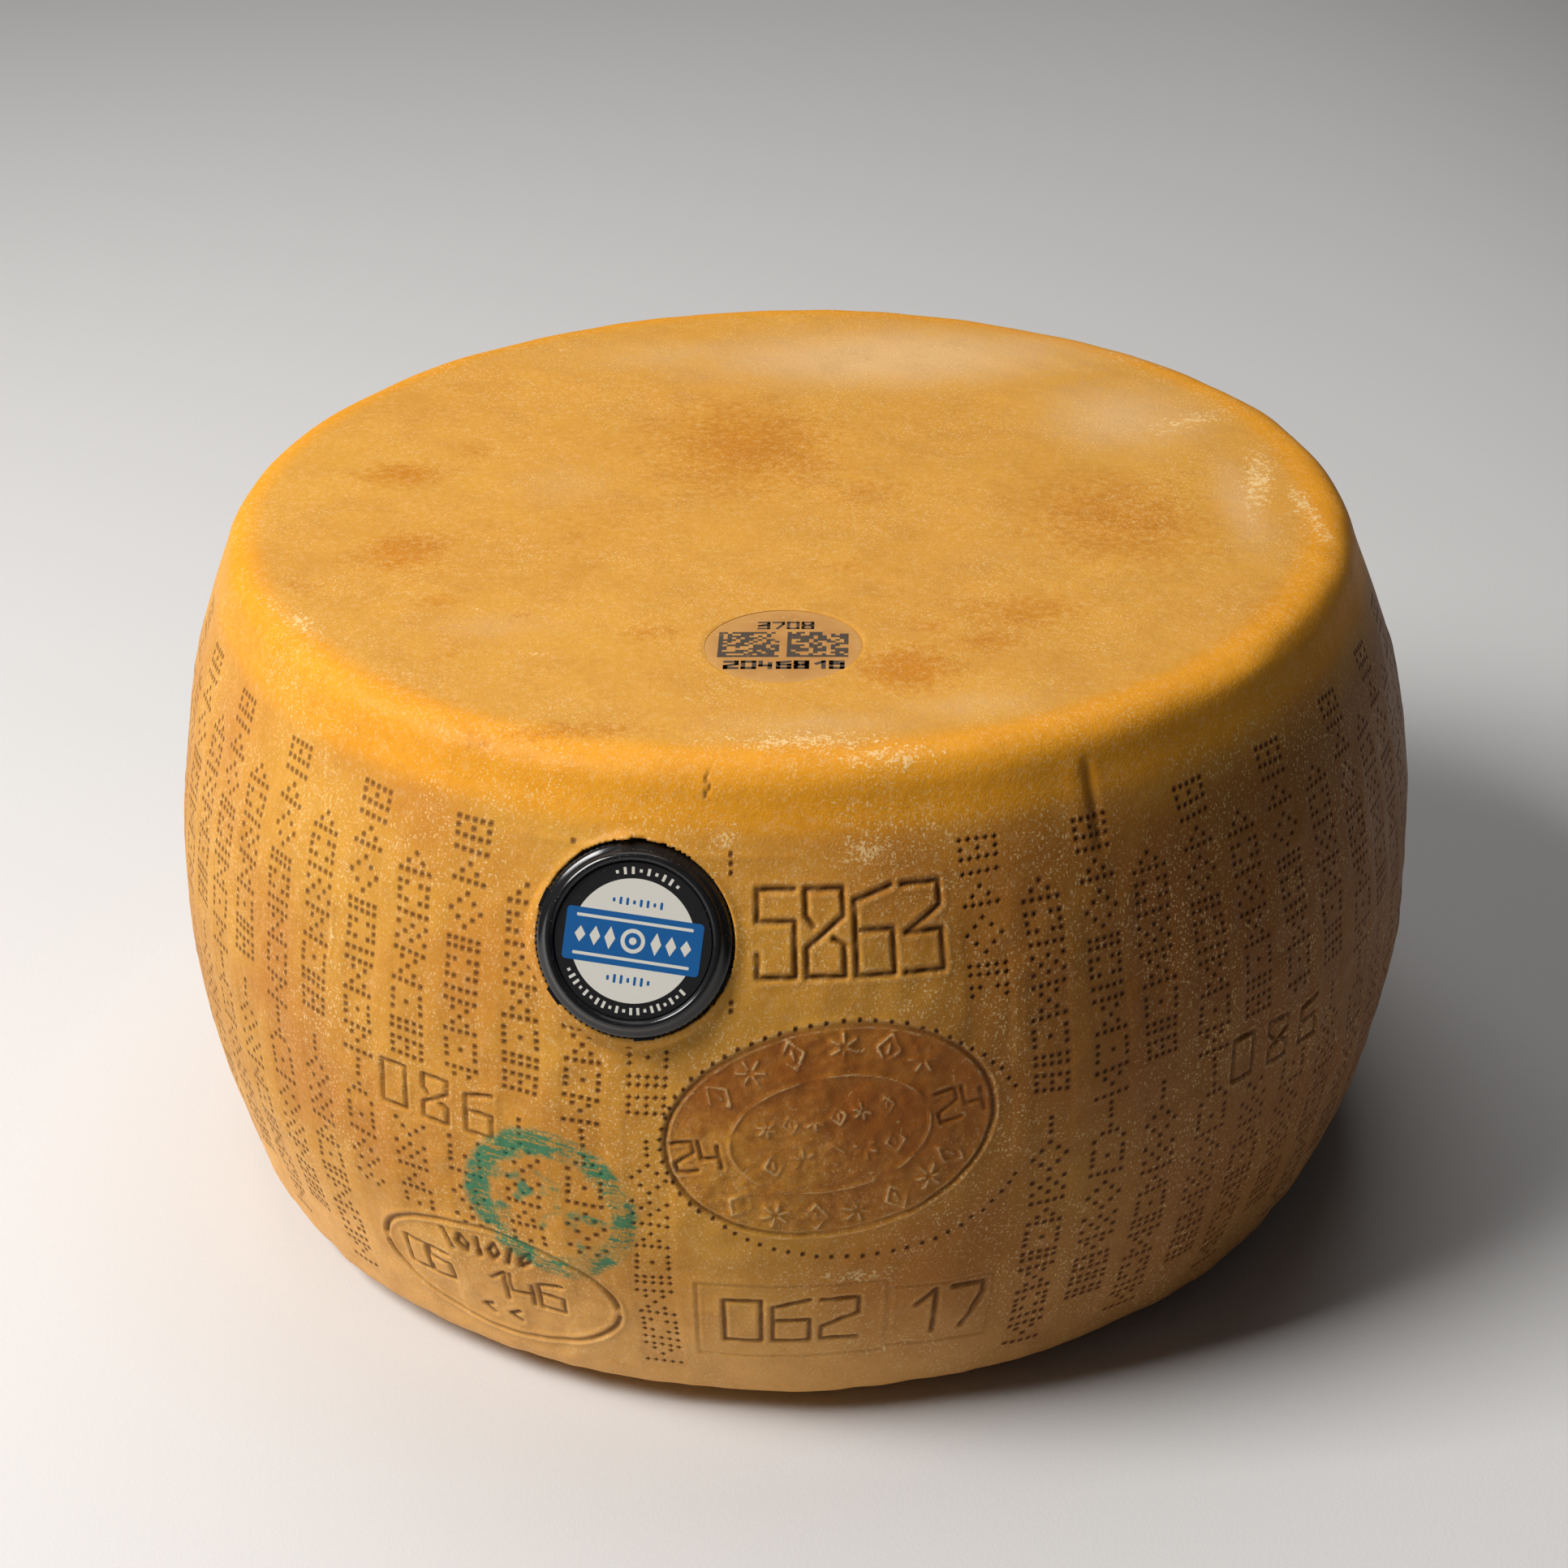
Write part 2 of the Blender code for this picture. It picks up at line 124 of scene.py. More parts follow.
# Cap badge and casein plate sizes, as in the solids
BADGE_AZIMUTH = -13.25
BADGE_HEIGHT = 0.1838
BADGE_AXIS_AZIMUTH = -6.5
BADGE_AXIS_RISE = 24.5
BADGE_RADIUS = 0.0293
BADGE_DEPTH = 0.0096
BADGE_SUNK = 0.0046
RING_RADIUS = 0.0262
RING_WIDTH = 0.0028
LABEL_RADIUS = RING_RADIUS - RING_WIDTH - 0.0004
LABEL_THICKNESS = 0.0004
LABEL_DROP = 0.0012
LUG_COUNT = 6
LUG_SIZE = (0.0060, 0.0016, 0.0030)
LUG_FIRST = 7.0
PLATE_PLACE = (0.0002, -0.1141)
PLATE_HALF = (0.0245, 0.0248)
PLATE_THICKNESS = 0.0008
PLATE_DROP = 0.0002

# The plain digits in the plate, with half the width of their strokes
PLATE_DIGITS = (
    (digits("3708", (0.0030, 0.0042), 0.0046, (0.0005, 0.0140)), 0.00050),
    (digits("2046815", (0.0034, 0.0042), 0.0054, (0.0005, -0.0130)), 0.00070),
)

# How the rind is pressed and squeezed round the badge, and the bed of the plate
SEAT_GAP = 0.0004
COLLAR_REACH = 0.012
BADGE_CLEARANCE = 0.0035
BED_GAP = 0.00004
BED_REACH = 0.018
TOP_STEPS = 420
TOP_RINGS = 130
TOP_RING_SPACING = 1.9

# Tints and gloss that the settings don't hold
SKIN_SPECULAR = 0.12
CAP_DUST = (0.30, 0.27, 0.22)
LABEL_DUST = (0.45, 0.41, 0.33)
PINHOLE = (0.86, 0.62, 0.32)

# The camera, fitted to the photograph, and the soft light above
CAMERA_TARGET = (-0.00031, 0.0, 0.11942)
CAMERA_RISE = 29.55
CAMERA_DISTANCE = 1.034
CAMERA_ROLL = -1.03
LIGHT_TARGET = (0.0, 0.0, 0.12)
OVERHEAD_PLACE = (-0.1, 1.0, 2.5)
OVERHEAD_SIZE = 1.8
FLOOR_HALF = 9.0
FLOOR_DROP = 0.0002

# Plain angular digits, drawn in a cell that runs from 0 to 1 both ways
DIGITS = {
    "0": [[(0, 0), (1, 0), (1, 1), (0, 1), (0, 0)]],
    "1": [[(0.3, 0.68), (0.9, 1), (0.9, 0)]],
    "2": [[(0, 1), (1, 1), (1, 0.62), (0, 0.32), (0, 0), (1, 0)]],
    "3": [[(0, 1), (1, 1), (1, 0.74), (0.05, 0.46), (1, 0.46), (1, 0), (0, 0)]],
    "4": [[(0, 1), (0, 0.38), (0.85, 0.38)], [(0.85, 0.75), (0.85, 0)]],
    "5": [[(1, 1), (0, 1), (0, 0.64), (1, 0.64), (1, 0), (0, 0), (0, 0.26)]],
    "6": [[(1, 1), (0, 0.86), (0, 0), (1, 0), (1, 0.52), (0.12, 0.52)]],
    "7": [[(0, 1), (1, 1), (1, 0.72), (0.4, 0)]],
    "8": [
        [(0.2, 0.58), (0, 0.7), (0, 1), (1, 1), (1, 0.7), (0, 0.34), (0, 0), (1, 0), (1, 0.36), (0.72, 0.44)],
    ],
}

# Columns of pressed dots round the side, by their reach at mid height
RIGHT_COLUMNS = (0.0576, 0.0770, 0.0971, 0.1165, 0.1373, 0.1569, 0.1772, 0.1982, 0.2195)
LEFT_COLUMNS = (-0.2140, -0.1925, -0.1712, -0.1500, -0.1287, -0.1083, -0.0874, -0.0672, -0.0466)
BACK_COLUMNS = 46
BACK_SECTORS = (8, 8, 8, 8, 7, 7)
HIDDEN_COLUMN = -0.0263
HIDDEN_COLUMN_FROM = -0.0215
HIDDEN_COLUMN_FOOT = 0.164
DOTS_ACROSS = 5
LINES_PER_DOT = 4
ROWS_PER_DOT = 4
ROW_STEP = 0.00255 / ROWS_PER_DOT
FIRST_ROW_HEIGHT = 0.0187
PIN_ROWS = 303
FRONT_LINES = 182
FINE_GAP_LINES = 9
BACK_GAP_LINES = 5
GROUP_GAP_ROWS = 6
BAND_HALF = (0.0056, 0.0082)
BAND_FADE = (0.1650, 0.2020)
BAND_DEPTH = 0.00020
FINE_PULL = 0.00086
COARSE_PULL = 0.00102
DOT_UNEVENNESS = 0.35

# Boxes that the columns' dots keep out of: from and to along the reach, from and to in height
BARE_BOXES = (
    (-0.0220, 0.0520, 0.0200, 0.2155),
    (0.0500, 0.0660, 0.0, 0.1640),
    (-0.1435, -0.0950, 0.1060, 0.1280),
    (0.1430, 0.1915, 0.1040, 0.1268),
    (-0.1560, -0.0560, 0.0, 0.0715),
)

# Where the dots of a tall and a low column begin and end, and the short dash between their two halves
COLUMN_TOPS = {"high": 0.2090, "low": 0.1945}
COLUMN_FEET = {"high": 0.0370, "low": 0.0222}
DASH_HEIGHTS = (0.1194, 0.11685, 0.1143)
UPPER_HALF_FOOT = 0.1228
LOWER_HALF_TOP = 0.1105

# Small dot ornaments five dots wide. They are shapes, not letters.
ORNAMENTS = {
    "lozenge": ("..#..", ".#.#.", "#...#", ".#.#.", "..#.."),
    "double_bar": ("#####", "#####"),
    "peak": ("..#..", ".#.#.", "#####"),
    "frame": ("#####", "#.#.#", "#####"),
    "lattice": ("#.#.#", ".#.#.", "#.#.#"),
    "bar": ("#####",),
    "hourglass": ("#####", ".#.#.", "..#..", ".#.#.", "#####"),
    "rails": ("#...#", "#.#.#", "#...#"),
    "dip": ("#####", ".#.#.", "..#.."),
    "arrow": ("..#..", ".###.", "#...#"),
    "steps": ("##.##", "#...#", "##.##"),
}
ORNAMENT_ORDER = {
    "high": (
        ("frame", "bar", "peak", "lozenge", "double_bar", "steps")
        + ("bar", "hourglass", "rails", "dip", "lattice"),
        ("arrow", "rails", "bar", "lozenge", "lattice", "dip", "frame", "double_bar", "peak"),
    ),
    "low": (
        ("peak", "steps", "bar", "lattice", "hourglass", "rails", "double_bar", "frame"),
        ("lozenge", "lattice", "bar", "peak", "rails", "double_bar")
        + ("hourglass", "steps", "bar", "dip", "frame"),
    ),
}

# Soft blotches on the top and rim: x, y, half length, half width in millimetres, turn in degrees, strength
STAINS = (
    (-109, 43, 8, 10, 0, 0.55),
    (-132, 24, 15, 11, 0, 0.90),
    (-126, -40, 16, 17, 0, 0.85),
    (-110, -79, 9, 7, 0, 0.50),
    (-155, -67, 7, 7, 0, 0.50),
    (-12, 44, 35, 42, 0, 0.80),
    (-16, 14, 18, 18, 0, 0.40),
    (28, 3, 26, 20, 0, 0.35),
    (115, -25, 36, 40, 0, 0.62),
    (76, -93, 24, 16, 0, 0.60),
    (23, -59, 8, 7, 0, 0.45),
    (38, -132, 15, 15, 0, 1.05),
    (63, -114, 13, 9, 0, 0.65),
    (47, -102, 9, 7, 0, 0.50),
    (-42, -104, 11, 8, 0, 0.60),
    (-105, -116, 7, 5, 0, 0.40),
    (-63, -167, 34, 6, 0, 0.60),
    (-83, -91, 6, 5, 0, 0.40),
    (-60, -20, 45, 45, 0, 0.22),
)
PALE_PATCHES = (
    (44, 130, 85, 34, 0, 0.9),
    (-34, 136, 60, 24, 0, 0.5),
    (125, 66, 36, 40, 0, 0.7),
    (157, -13, 12, 49, 0, 0.6),
    (-74, 11, 25, 25, 0, 0.35),
    (-88, -97, 30, 13, 0, 0.40),
    (8, -166, 42, 10, 0, 0.45),
    (56, -156, 30, 13, 0, 0.45),
    (70, -50, 28, 12, 0, 0.25),
)
RIM_FLAKES = (
    (150, 62, 9, 30, -60, 0.8),
    (166, 7, 7, 34, -10, 1.0),
    (178, -16, 5, 22, 5, 1.0),
    (180, -36, 5, 16, 12, 0.9),
    (138, 122, 26, 8, -42, 0.5),
    (-153, -92, 6, 16, 35, 0.8),
    (-163, -78, 4, 12, 30, 0.7),
    (-97, -85, 3, 2, 0, 0.8),
    (-75, -117, 8, 3, -10, 0.7),
    (-84, 145, 2, 2, 0, 1.0),
    (6, -177, 34, 7, 0, 0.9),
    (30, -184, 22, 7, 8, 0.8),
    (-60, -172, 20, 5, -20, 0.4),
)

# Pale scuffs on the side, by reach and height in millimetres
SIDE_FLAKES = (
    (-23, 214, 7, 4, 0, 1.0),
    (22, 209, 12, 6, 0, 0.9),
    (36, 197, 8, 3, 0, 0.5),
    (14, 68, 26, 6, 0, 0.7),
    (-22, 76, 12, 6, 20, 0.6),
    (20, 34, 22, 5, 0, 0.6),
    (52, 27, 16, 4, 0, 0.5),
    (-38, 30, 14, 5, 0, 0.4),
    (-75, 22, 16, 3, 8, 0.7),
    (60, 150, 8, 12, 0, 0.4),
    (-163, 160, 1.5, 12, 0, 0.8),
)


def clamp01(values):
    return np.clip(values, 0.0, 1.0)


def smooth_step(low, high, values):
    share = clamp01((np.asarray(values, float) - low) / (high - low))
    return share * share * (3 - 2 * share)


def hump(away, width):
    """A smooth bell, 1 in its middle."""
    return np.exp(-((away / width) ** 2))


def window(start, full, fading, end, values):
    """0 outside its start and end, 1 from full to fading, and smooth between them."""
    return smooth_step(start, full, values) * (1 - smooth_step(fading, end, values))


# The wheel's own surface


def side_radius(height):
    """The radius of the barrel side, before the wheel settles."""
    below = np.clip((BELLY_HEIGHT - height) / (BELLY_HEIGHT - BASE_ROLL), 0.0, None)
    above = np.clip((height - BELLY_HEIGHT) / (SHOULDER_HEIGHT - BELLY_HEIGHT), 0.0, None)
    lower = (BELLY_RADIUS - LOWER_EDGE_RADIUS) * below**LOWER_POWER
    upper = (BELLY_RADIUS - SHOULDER_RADIUS) * above**UPPER_POWER
    return BELLY_RADIUS - lower - upper


def settle(azimuth, radius, height):
    """Points of the true turned shape, moved to where they lie on the settled wheel."""
    near_base = np.minimum(1.0, np.maximum(height, 0.0) / (4 * BASE_ROLL))
    fade = near_base * np.minimum(1.0, radius / TOP_FLAT_RADIUS) ** 4
    waves = sum(depth * np.sin(count * azimuth + phase) for count, depth, phase in UNEVEN_WAVES)
    scale = 1.0 + fade * waves / np.maximum(radius, 0.001)
    share = height / WHEEL_HEIGHT
    x = radius * np.sin(azimuth) * scale + SWAY_LINEAR * share - SWAY_CURVE * share**2
    return np.stack([x, -radius * np.cos(azimuth) * scale, height + 0 * x], axis=-1)


def side_point(reach, height):
    azimuth = np.asarray(reach / BELLY_RADIUS)
    height = np.asarray(height, float)
    return settle(azimuth, side_radius(height), height)


def rind_profile():
    """Radius and height of each row of the rind, from the flat base over the side and rim to the top seam."""
    turn = np.linspace(0, math.pi / 2, BASE_ROLL_ROWS)
    span = LOWER_EDGE_RADIUS - BASE_FLAT_RADIUS
    rows = list(zip(BASE_FLAT_RADIUS + span * np.sin(turn), BASE_ROLL * (1 - np.cos(turn))))
    low = np.linspace(BASE_ROLL, FIRST_ROW_HEIGHT, FOOT_ROWS)[1:-1]
    pins = FIRST_ROW_HEIGHT + ROW_STEP * np.arange(PIN_ROWS + 1)
    high = np.linspace(pins[-1], SHOULDER_HEIGHT, SHOULDER_ROWS)[1:]
    for height in np.concatenate([low, pins, high]):
        rows.append((float(side_radius(height)), height))
    first_pin = len(turn) + len(low)
    turn = np.linspace(math.pi / 2, 0, RIM_ROLL_ROWS)[1:]
    span = SHOULDER_RADIUS - TOP_FLAT_RADIUS
    rows += list(zip(TOP_FLAT_RADIUS + span * np.sin(turn), WHEEL_HEIGHT - RIM_ROLL * (1 - np.cos(turn))))
    for radius in np.linspace(TOP_FLAT_RADIUS, TOP_SEAM_RADIUS, TOP_ROWS)[1:]:
        rows.append((radius, WHEEL_HEIGHT))
    rows = np.array(rows)
    rim = (rows[:, 1] > RIM_SOFT_HEIGHT) & (rows[:, 0] > RIM_SOFT_RADIUS)
    foot = (rows[:, 1] > FOOT_SOFT_HEIGHTS[0]) & (rows[:, 1] < FOOT_SOFT_HEIGHTS[1])
    for _ in range(SOFTENING_ROUNDS):
        even = rows.copy()
        even[1:-1] = 0.5 * rows[1:-1] + 0.25 * (rows[:-2] + rows[2:])
        rows[rim | foot] = even[rim | foot]
    step = np.gradient(rows, axis=0)
    normal = np.stack([step[:, 1], -step[:, 0]], axis=-1)
    normal /= np.linalg.norm(normal, axis=1, keepdims=True)
    along = np.concatenate([[0], np.cumsum(np.linalg.norm(np.diff(rows, axis=0), axis=1))])
    return rows[:, 0], rows[:, 1], normal, along, first_pin


def smooth_waves(seed, first, second, shortest, longest, count=26):
    """A smooth random unevenness of spread 1 over two lengths in metres, from sine waves all ways."""
    draw = np.random.default_rng(seed)
    total = np.zeros(np.broadcast(first, second).shape)
    for _ in range(count):
        length = math.exp(draw.uniform(math.log(shortest), math.log(longest)))
        way = draw.uniform(0, math.tau)
        across = round(BELLY_ROUND * math.cos(way) / length) * math.tau / BELLY_ROUND
        upward = math.sin(way) * math.tau / length
        total += np.sin(across * first + upward * second + draw.uniform(0, math.tau))
    return total / math.sqrt(count / 2)


def blotches(marks, first, second):
    """How strongly soft oval blotches cover each point, from 0 to about 1. Places are in millimetres."""
    cover = np.zeros(np.broadcast(first, second).shape)
    for x, y, half_long, half_wide, degrees, strength in marks:
        angle = math.radians(degrees)
        right, up = first - x / 1000, second - y / 1000
        u = (right * math.cos(angle) + up * math.sin(angle)) * 1000 / half_long
        v = (-right * math.sin(angle) + up * math.cos(angle)) * 1000 / half_wide
        cover = np.maximum(cover, strength * np.exp(-(u * u + v * v)))
    return cover


# Pressed marks


def turned(x, y, degrees):
    angle = math.radians(degrees)
    return x * math.cos(angle) - y * math.sin(angle), x * math.sin(angle) + y * math.cos(angle)


def beside(place, distance, tilt):
    x, y = turned(distance, 0.0, tilt)
    return (place[0] + x, place[1] + y)


def digit_paths(mark, place=None):
    """The strokes of a row of plain digits, centred on its place and turned by its tilt."""
    place = place or mark["place"]
    width, tall = mark["size"]
    first = -mark["pitch"] * (len(mark["text"]) - 1) / 2
    paths = []
    for order, digit in enumerate(mark["text"]):
        for stroke in DIGITS[digit]:
            path = []
            for x, y in stroke:
                across, rise = first + order * mark["pitch"] + (x - 0.5) * width, (y - 0.5) * tall
                right, up = turned(across, rise, mark["tilt"])
                path.append((place[0] + right, place[1] + up))
            paths.append(path)
    return paths


def distance_to_paths(reach, height, paths):
    """The distance in metres from each point to the nearest stroke. Far points are only given as far."""
    far, margin = 0.02, 0.006
    nearest = np.full(reach.shape, far)
    for path in paths:
        for (x0, y0), (x1, y1) in zip(path, path[1:]):
            close = (reach > min(x0, x1) - margin) & (reach < max(x0, x1) + margin)
            close &= (height > min(y0, y1) - margin) & (height < max(y0, y1) + margin)
            if not close.any():
                continue
            right, up = reach[close] - x0, height[close] - y0
            length = max((x1 - x0) ** 2 + (y1 - y0) ** 2, 1e-12)
            share = clamp01((right * (x1 - x0) + up * (y1 - y0)) / length)
            away = np.hypot(right - share * (x1 - x0), up - share * (y1 - y0))
            nearest[close] = np.minimum(nearest[close], away)
    return nearest


def oval_distance(reach, height, place, half, tilt):
    """Signed distance to an oval, below 0 inside it, and the angle round it."""
    right, up = turned(reach - place[0], height - place[1], -tilt)
    ratio = np.hypot(right / half[0], up / half[1])
    angle = np.arctan2(up / half[1], right / half[0])
    slope = np.hypot(right / half[0] ** 2, up / half[1] ** 2) / np.maximum(ratio, 1e-6)
    return np.where(ratio < 0.05, -min(half), (ratio - 1) / np.maximum(slope, 1e-6)), angle


def box_distance(reach, height, left, right, low, high):
    """Signed distance to an upright box, below 0 inside it."""
    aside = np.abs(reach - (left + right) / 2) - (right - left) / 2
    above = np.abs(height - (low + high) / 2) - (high - low) / 2
    return np.maximum(aside, above)


def groove(away, half_width):
    """The cross section of a pressed groove, 1 at its middle and 0 beyond its edge."""
    return 1 - smooth_step(0.0, 1.0, away / half_width)


def lip(away, half_width):
    """The soft ridge that is squeezed up beside a groove."""
    out, width = 1.7, 0.75
    return hump(away - out * half_width, width * half_width)


def in_large_oval(path, size, spin, x, y):
    """A small outline, turned and set down inside the large oval, as reaches and heights."""
    points = []
    for px, py in path:
        sx, sy = turned(px * size, py * size, spin)
        right, up = turned(x + sx, y + sy, OVAL_TILT)
        points.append((OVAL_PLACE[0] + right, OVAL_PLACE[1] + up))
    return points


def oval_shapes():
    """Raised outlines in the large oval: lozenges with a seed in them and six-petalled flowers, in turns."""
    lozenge = [(0, 0.0040), (0.0030, 0), (0, -0.0040), (-0.0030, 0), (0, 0.0040)]
    seed = [(0, 0.0012), (0, -0.0012)]
    petals = [
        [(math.cos(turn) * near, math.sin(turn) * near) for near in (0.0012, 0.0036)]
        for turn in (math.radians(petal * 60 + 30) for petal in range(6))
    ]
    kinds = ([lozenge, seed], petals)
    outlines = []
    ring_share, ring_size = 0.81, 1.2
    for order, degrees in enumerate((-140, -122, -104, -86, -68, -50, -34, 38, 56, 76, 98, 118, 138)):
        turn = math.radians(degrees)
        x, y = OVAL_HALF[0] * ring_share * math.cos(turn), OVAL_HALF[1] * ring_share * math.sin(turn)
        outward = math.degrees(math.atan2(y / OVAL_HALF[1] ** 2, x / OVAL_HALF[0] ** 2))
        spin = outward + (90 if degrees < 0 else -90)
        outlines += [in_large_oval(path, ring_size, spin, x, y) for path in kinds[order % len(kinds)]]
    row_pitch = 0.0078
    for y, count, size in ((0.0062, 6, 0.75), (-0.0068, 5, 0.95)):
        for order in range(count):
            x = (order - (count - 1) / 2) * row_pitch * size / 0.8
            kind = kinds[(order + (y > 0)) % len(kinds)]
            outlines += [in_large_oval(path, size, 0.0, x, y) for path in kind]
    return outlines


def low_oval_shapes():
    """Short bars and lozenges above the low oval's digits and two small marks below them."""
    outlines = []
    half_wide, bar_half, lozenge_half = 0.0019, 0.0036, 0.0034
    y = LOW_OVAL_PLACE[1] + 0.0150
    for order in range(6):
        x = LOW_OVAL_PLACE[0] + (order - 2.6) * 0.0058
        slant = 0.0007 * (order - 2.5)
        if order % 2:
            foot, head = (x - slant, y - lozenge_half), (x + slant, y + lozenge_half)
            outlines.append([foot, (x - half_wide, y), head, (x + half_wide, y), foot])
        else:
            outlines.append([(x - slant, y - bar_half), (x + slant, y + bar_half)])
    wide, tall = 0.0018, 0.0024
    y = LOW_OVAL_PLACE[1] - 0.0143
    for x in (-0.1090, -0.0984):
        outlines.append([(x + wide, y + tall), (x - wide, y), (x + wide, y - tall)])
    return outlines


def badge_axes():
    """The badge's axes across, up its face and out of it, and the middle of its back."""
    turn, rise = math.radians(BADGE_AXIS_AZIMUTH), math.radians(BADGE_AXIS_RISE)
    axis = np.array([math.sin(turn) * math.cos(rise), -math.cos(turn) * math.cos(rise), math.sin(rise)])
    across = np.cross([0.0, 0.0, 1.0], axis)
    across /= np.linalg.norm(across)
    up = np.cross(axis, across)
    foot = side_point(math.radians(BADGE_AZIMUTH) * BELLY_RADIUS, BADGE_HEIGHT)
    return across, up, axis, foot - axis * BADGE_SUNK


def badge_matrix():
    across, up, axis, origin = badge_axes()
    matrix = Matrix((across, up, axis)).transposed().to_4x4()
    matrix.translation = Vector(origin)
    return matrix


class Relief:
    """How far the side stands out at each point, in metres, how much shade is painted there, and how pale it
    is painted there, for painted highlights and pale scratches.
    """

    def __init__(self, reach, height):
        self.reach, self.height = reach, height
        self.out, self.dark, self.pale = (np.zeros(reach.shape) for _ in range(3))

    def waves(self, seed, shortest, longest, count=26):
        return smooth_waves(seed, self.reach, self.height, shortest, longest, count)

    def paint_shade(self, share):
        self.dark = np.maximum(self.dark, share)

    def paint_highlight_and_scratch(self, share):
        self.pale = np.maximum(self.pale, share)


def mark_strokes():
    """The digits and small marks, each with its half width, its depth and how much shade is painted in its
    strokes.
    """
    low_left = beside(LOW_OVAL_PLACE, LOW_OVAL_PAIR_AT, 0)
    low_right = beside(LOW_OVAL_PLACE, LOW_OVAL_TRIPLE_AT, 0)
    left_end = beside(OVAL_PLACE, -OVAL_DIGITS_OUT, OVAL_TILT)
    right_end = beside(OVAL_PLACE, OVAL_DIGITS_OUT, OVAL_TILT)
    return (
        (digit_paths(NUMBER), 0.00120, 0.00130, 1.0),
        (digit_paths(LEFT_TRIO), 0.00100, 0.00100, 0.9),
        (digit_paths(RIGHT_TRIO), 0.00100, 0.00100, 0.95),
        (digit_paths(BOX_FIRST), 0.00110, 0.00100, 0.95),
        (digit_paths(BOX_SECOND), 0.00120, 0.00110, 1.0),
        (digit_paths(LOW_OVAL_PAIR, low_left), 0.00105, 0.00100, 0.95),
        (digit_paths(LOW_OVAL_TRIPLE, low_right), 0.00105, 0.00100, 0.95),
        (low_oval_shapes(), 0.00120, 0.00110, 1.1),
        (digit_paths(OVAL_DIGITS, left_end), 0.00085, 0.00085, 0.9),
        (digit_paths(OVAL_DIGITS, right_end), 0.00080, 0.00065, 0.55),
    )


def press_strokes(side):
    """The digits and small marks, worn here and there, with painted shade in each stroke and a raised lip
    beside it painted pale as a highlight.
    """
    lip_height, lip_highlight = 0.00013, 0.35
    worn = 0.78 + 0.22 * side.waves(13, 0.004, 0.012)
    for paths, half_width, depth, darkness in mark_strokes():
        away = distance_to_paths(side.reach, side.height, paths)
        pressed = depth * clamp01(worn) * groove(away, half_width * 1.15)
        side.out += lip_height * lip(away, half_width) - pressed
        side.paint_shade(darkness * (1 - smooth_step(0.25, 1.0, away / half_width)))
        side.paint_highlight_and_scratch(lip_highlight * lip(away, half_width))


def press_box(side):
    """The framed box: a shallow tray in two parts, with a fine line round each."""
    tray_depth, line_depth, lip_height = 0.00022, 0.00028, 0.00012
    line_shade, lip_highlight = 0.22, 0.3
    tall = box_distance(side.reach, side.height, BOX_LEFT, BOX_STEP, *BOX_TALL_HEIGHTS)
    short = box_distance(side.reach, side.height, BOX_STEP + 0.001, BOX_RIGHT, *BOX_LOW_HEIGHTS)
    for away in (tall, short):
        line = np.abs(away)
        side.out += -tray_depth * (1 - smooth_step(-0.0010, 0.0008, away)) - line_depth * groove(line, 0.0009)
        side.out += lip_height * lip(line, 0.0008)
        # Painted shade in the line's groove and a painted highlight on its lip.
        side.paint_shade(line_shade * groove(line, 0.0007))
        side.paint_highlight_and_scratch(lip_highlight * lip(line, 0.0008))


def press_large_oval(side):
    """The large oval: a sunk field with painted shade in its edge groove at its ends, worn raised shapes
    painted pale as highlights, and fine pale scratches.
    """
    field_depth, edge_depth, lip_height = 0.00050, 0.00085, 0.00018
    shape_height, ring_height, scratch_height = 0.00052, 0.00042, 0.00007
    lip_highlight, shape_highlight, ring_highlight, scratch_pale = 0.45, 0.75, 0.60, 0.55
    away, angle = oval_distance(side.reach, side.height, OVAL_PLACE, OVAL_HALF, OVAL_TILT)
    line = np.abs(away)
    field = 1 - smooth_step(-0.0012, 0.0010, away)
    upper = (np.sin(angle) > 0) * np.abs(np.sin(angle))
    ends = clamp01(0.30 + 0.85 * np.abs(np.cos(angle)) ** 1.5 - 0.25 * upper)
    sunk = field_depth * field + edge_depth * ends * groove(line, 0.0011)
    side.out += lip_height * lip(line, 0.0009) - sunk
    # Painted shade in the edge groove at the oval's ends, and a painted highlight on its lip.
    side.paint_shade(ends * groove(line, 0.0011))
    side.paint_highlight_and_scratch(lip_highlight * lip(line, 0.0008))

    inner, _ = oval_distance(side.reach, side.height, OVAL_PLACE, INNER_OVAL_HALF, OVAL_TILT)
    ring = np.abs(inner)
    away = distance_to_paths(side.reach, side.height, oval_shapes())
    rubbed = clamp01(0.90 + 0.45 * side.waves(17, 0.008, 0.024))
    side.out += rubbed * (shape_height * groove(away, 0.0011) + ring_height * groove(ring, 0.0010))
    # Painted highlights on the raised shapes and the ring.
    side.paint_highlight_and_scratch(rubbed * shape_highlight * groove(away, 0.0008))
    side.paint_highlight_and_scratch(rubbed * ring_highlight * groove(ring, 0.0007))

    scratched = side.waves(14, 0.0035, 0.012, count=60)
    patchy = smooth_step(-0.2, 0.8, side.waves(15, 0.010, 0.030))
    side.out += field * scratch_height * scratched
    side.paint_highlight_and_scratch(field * scratch_pale * hump(scratched, 0.10) * patchy)
    return field


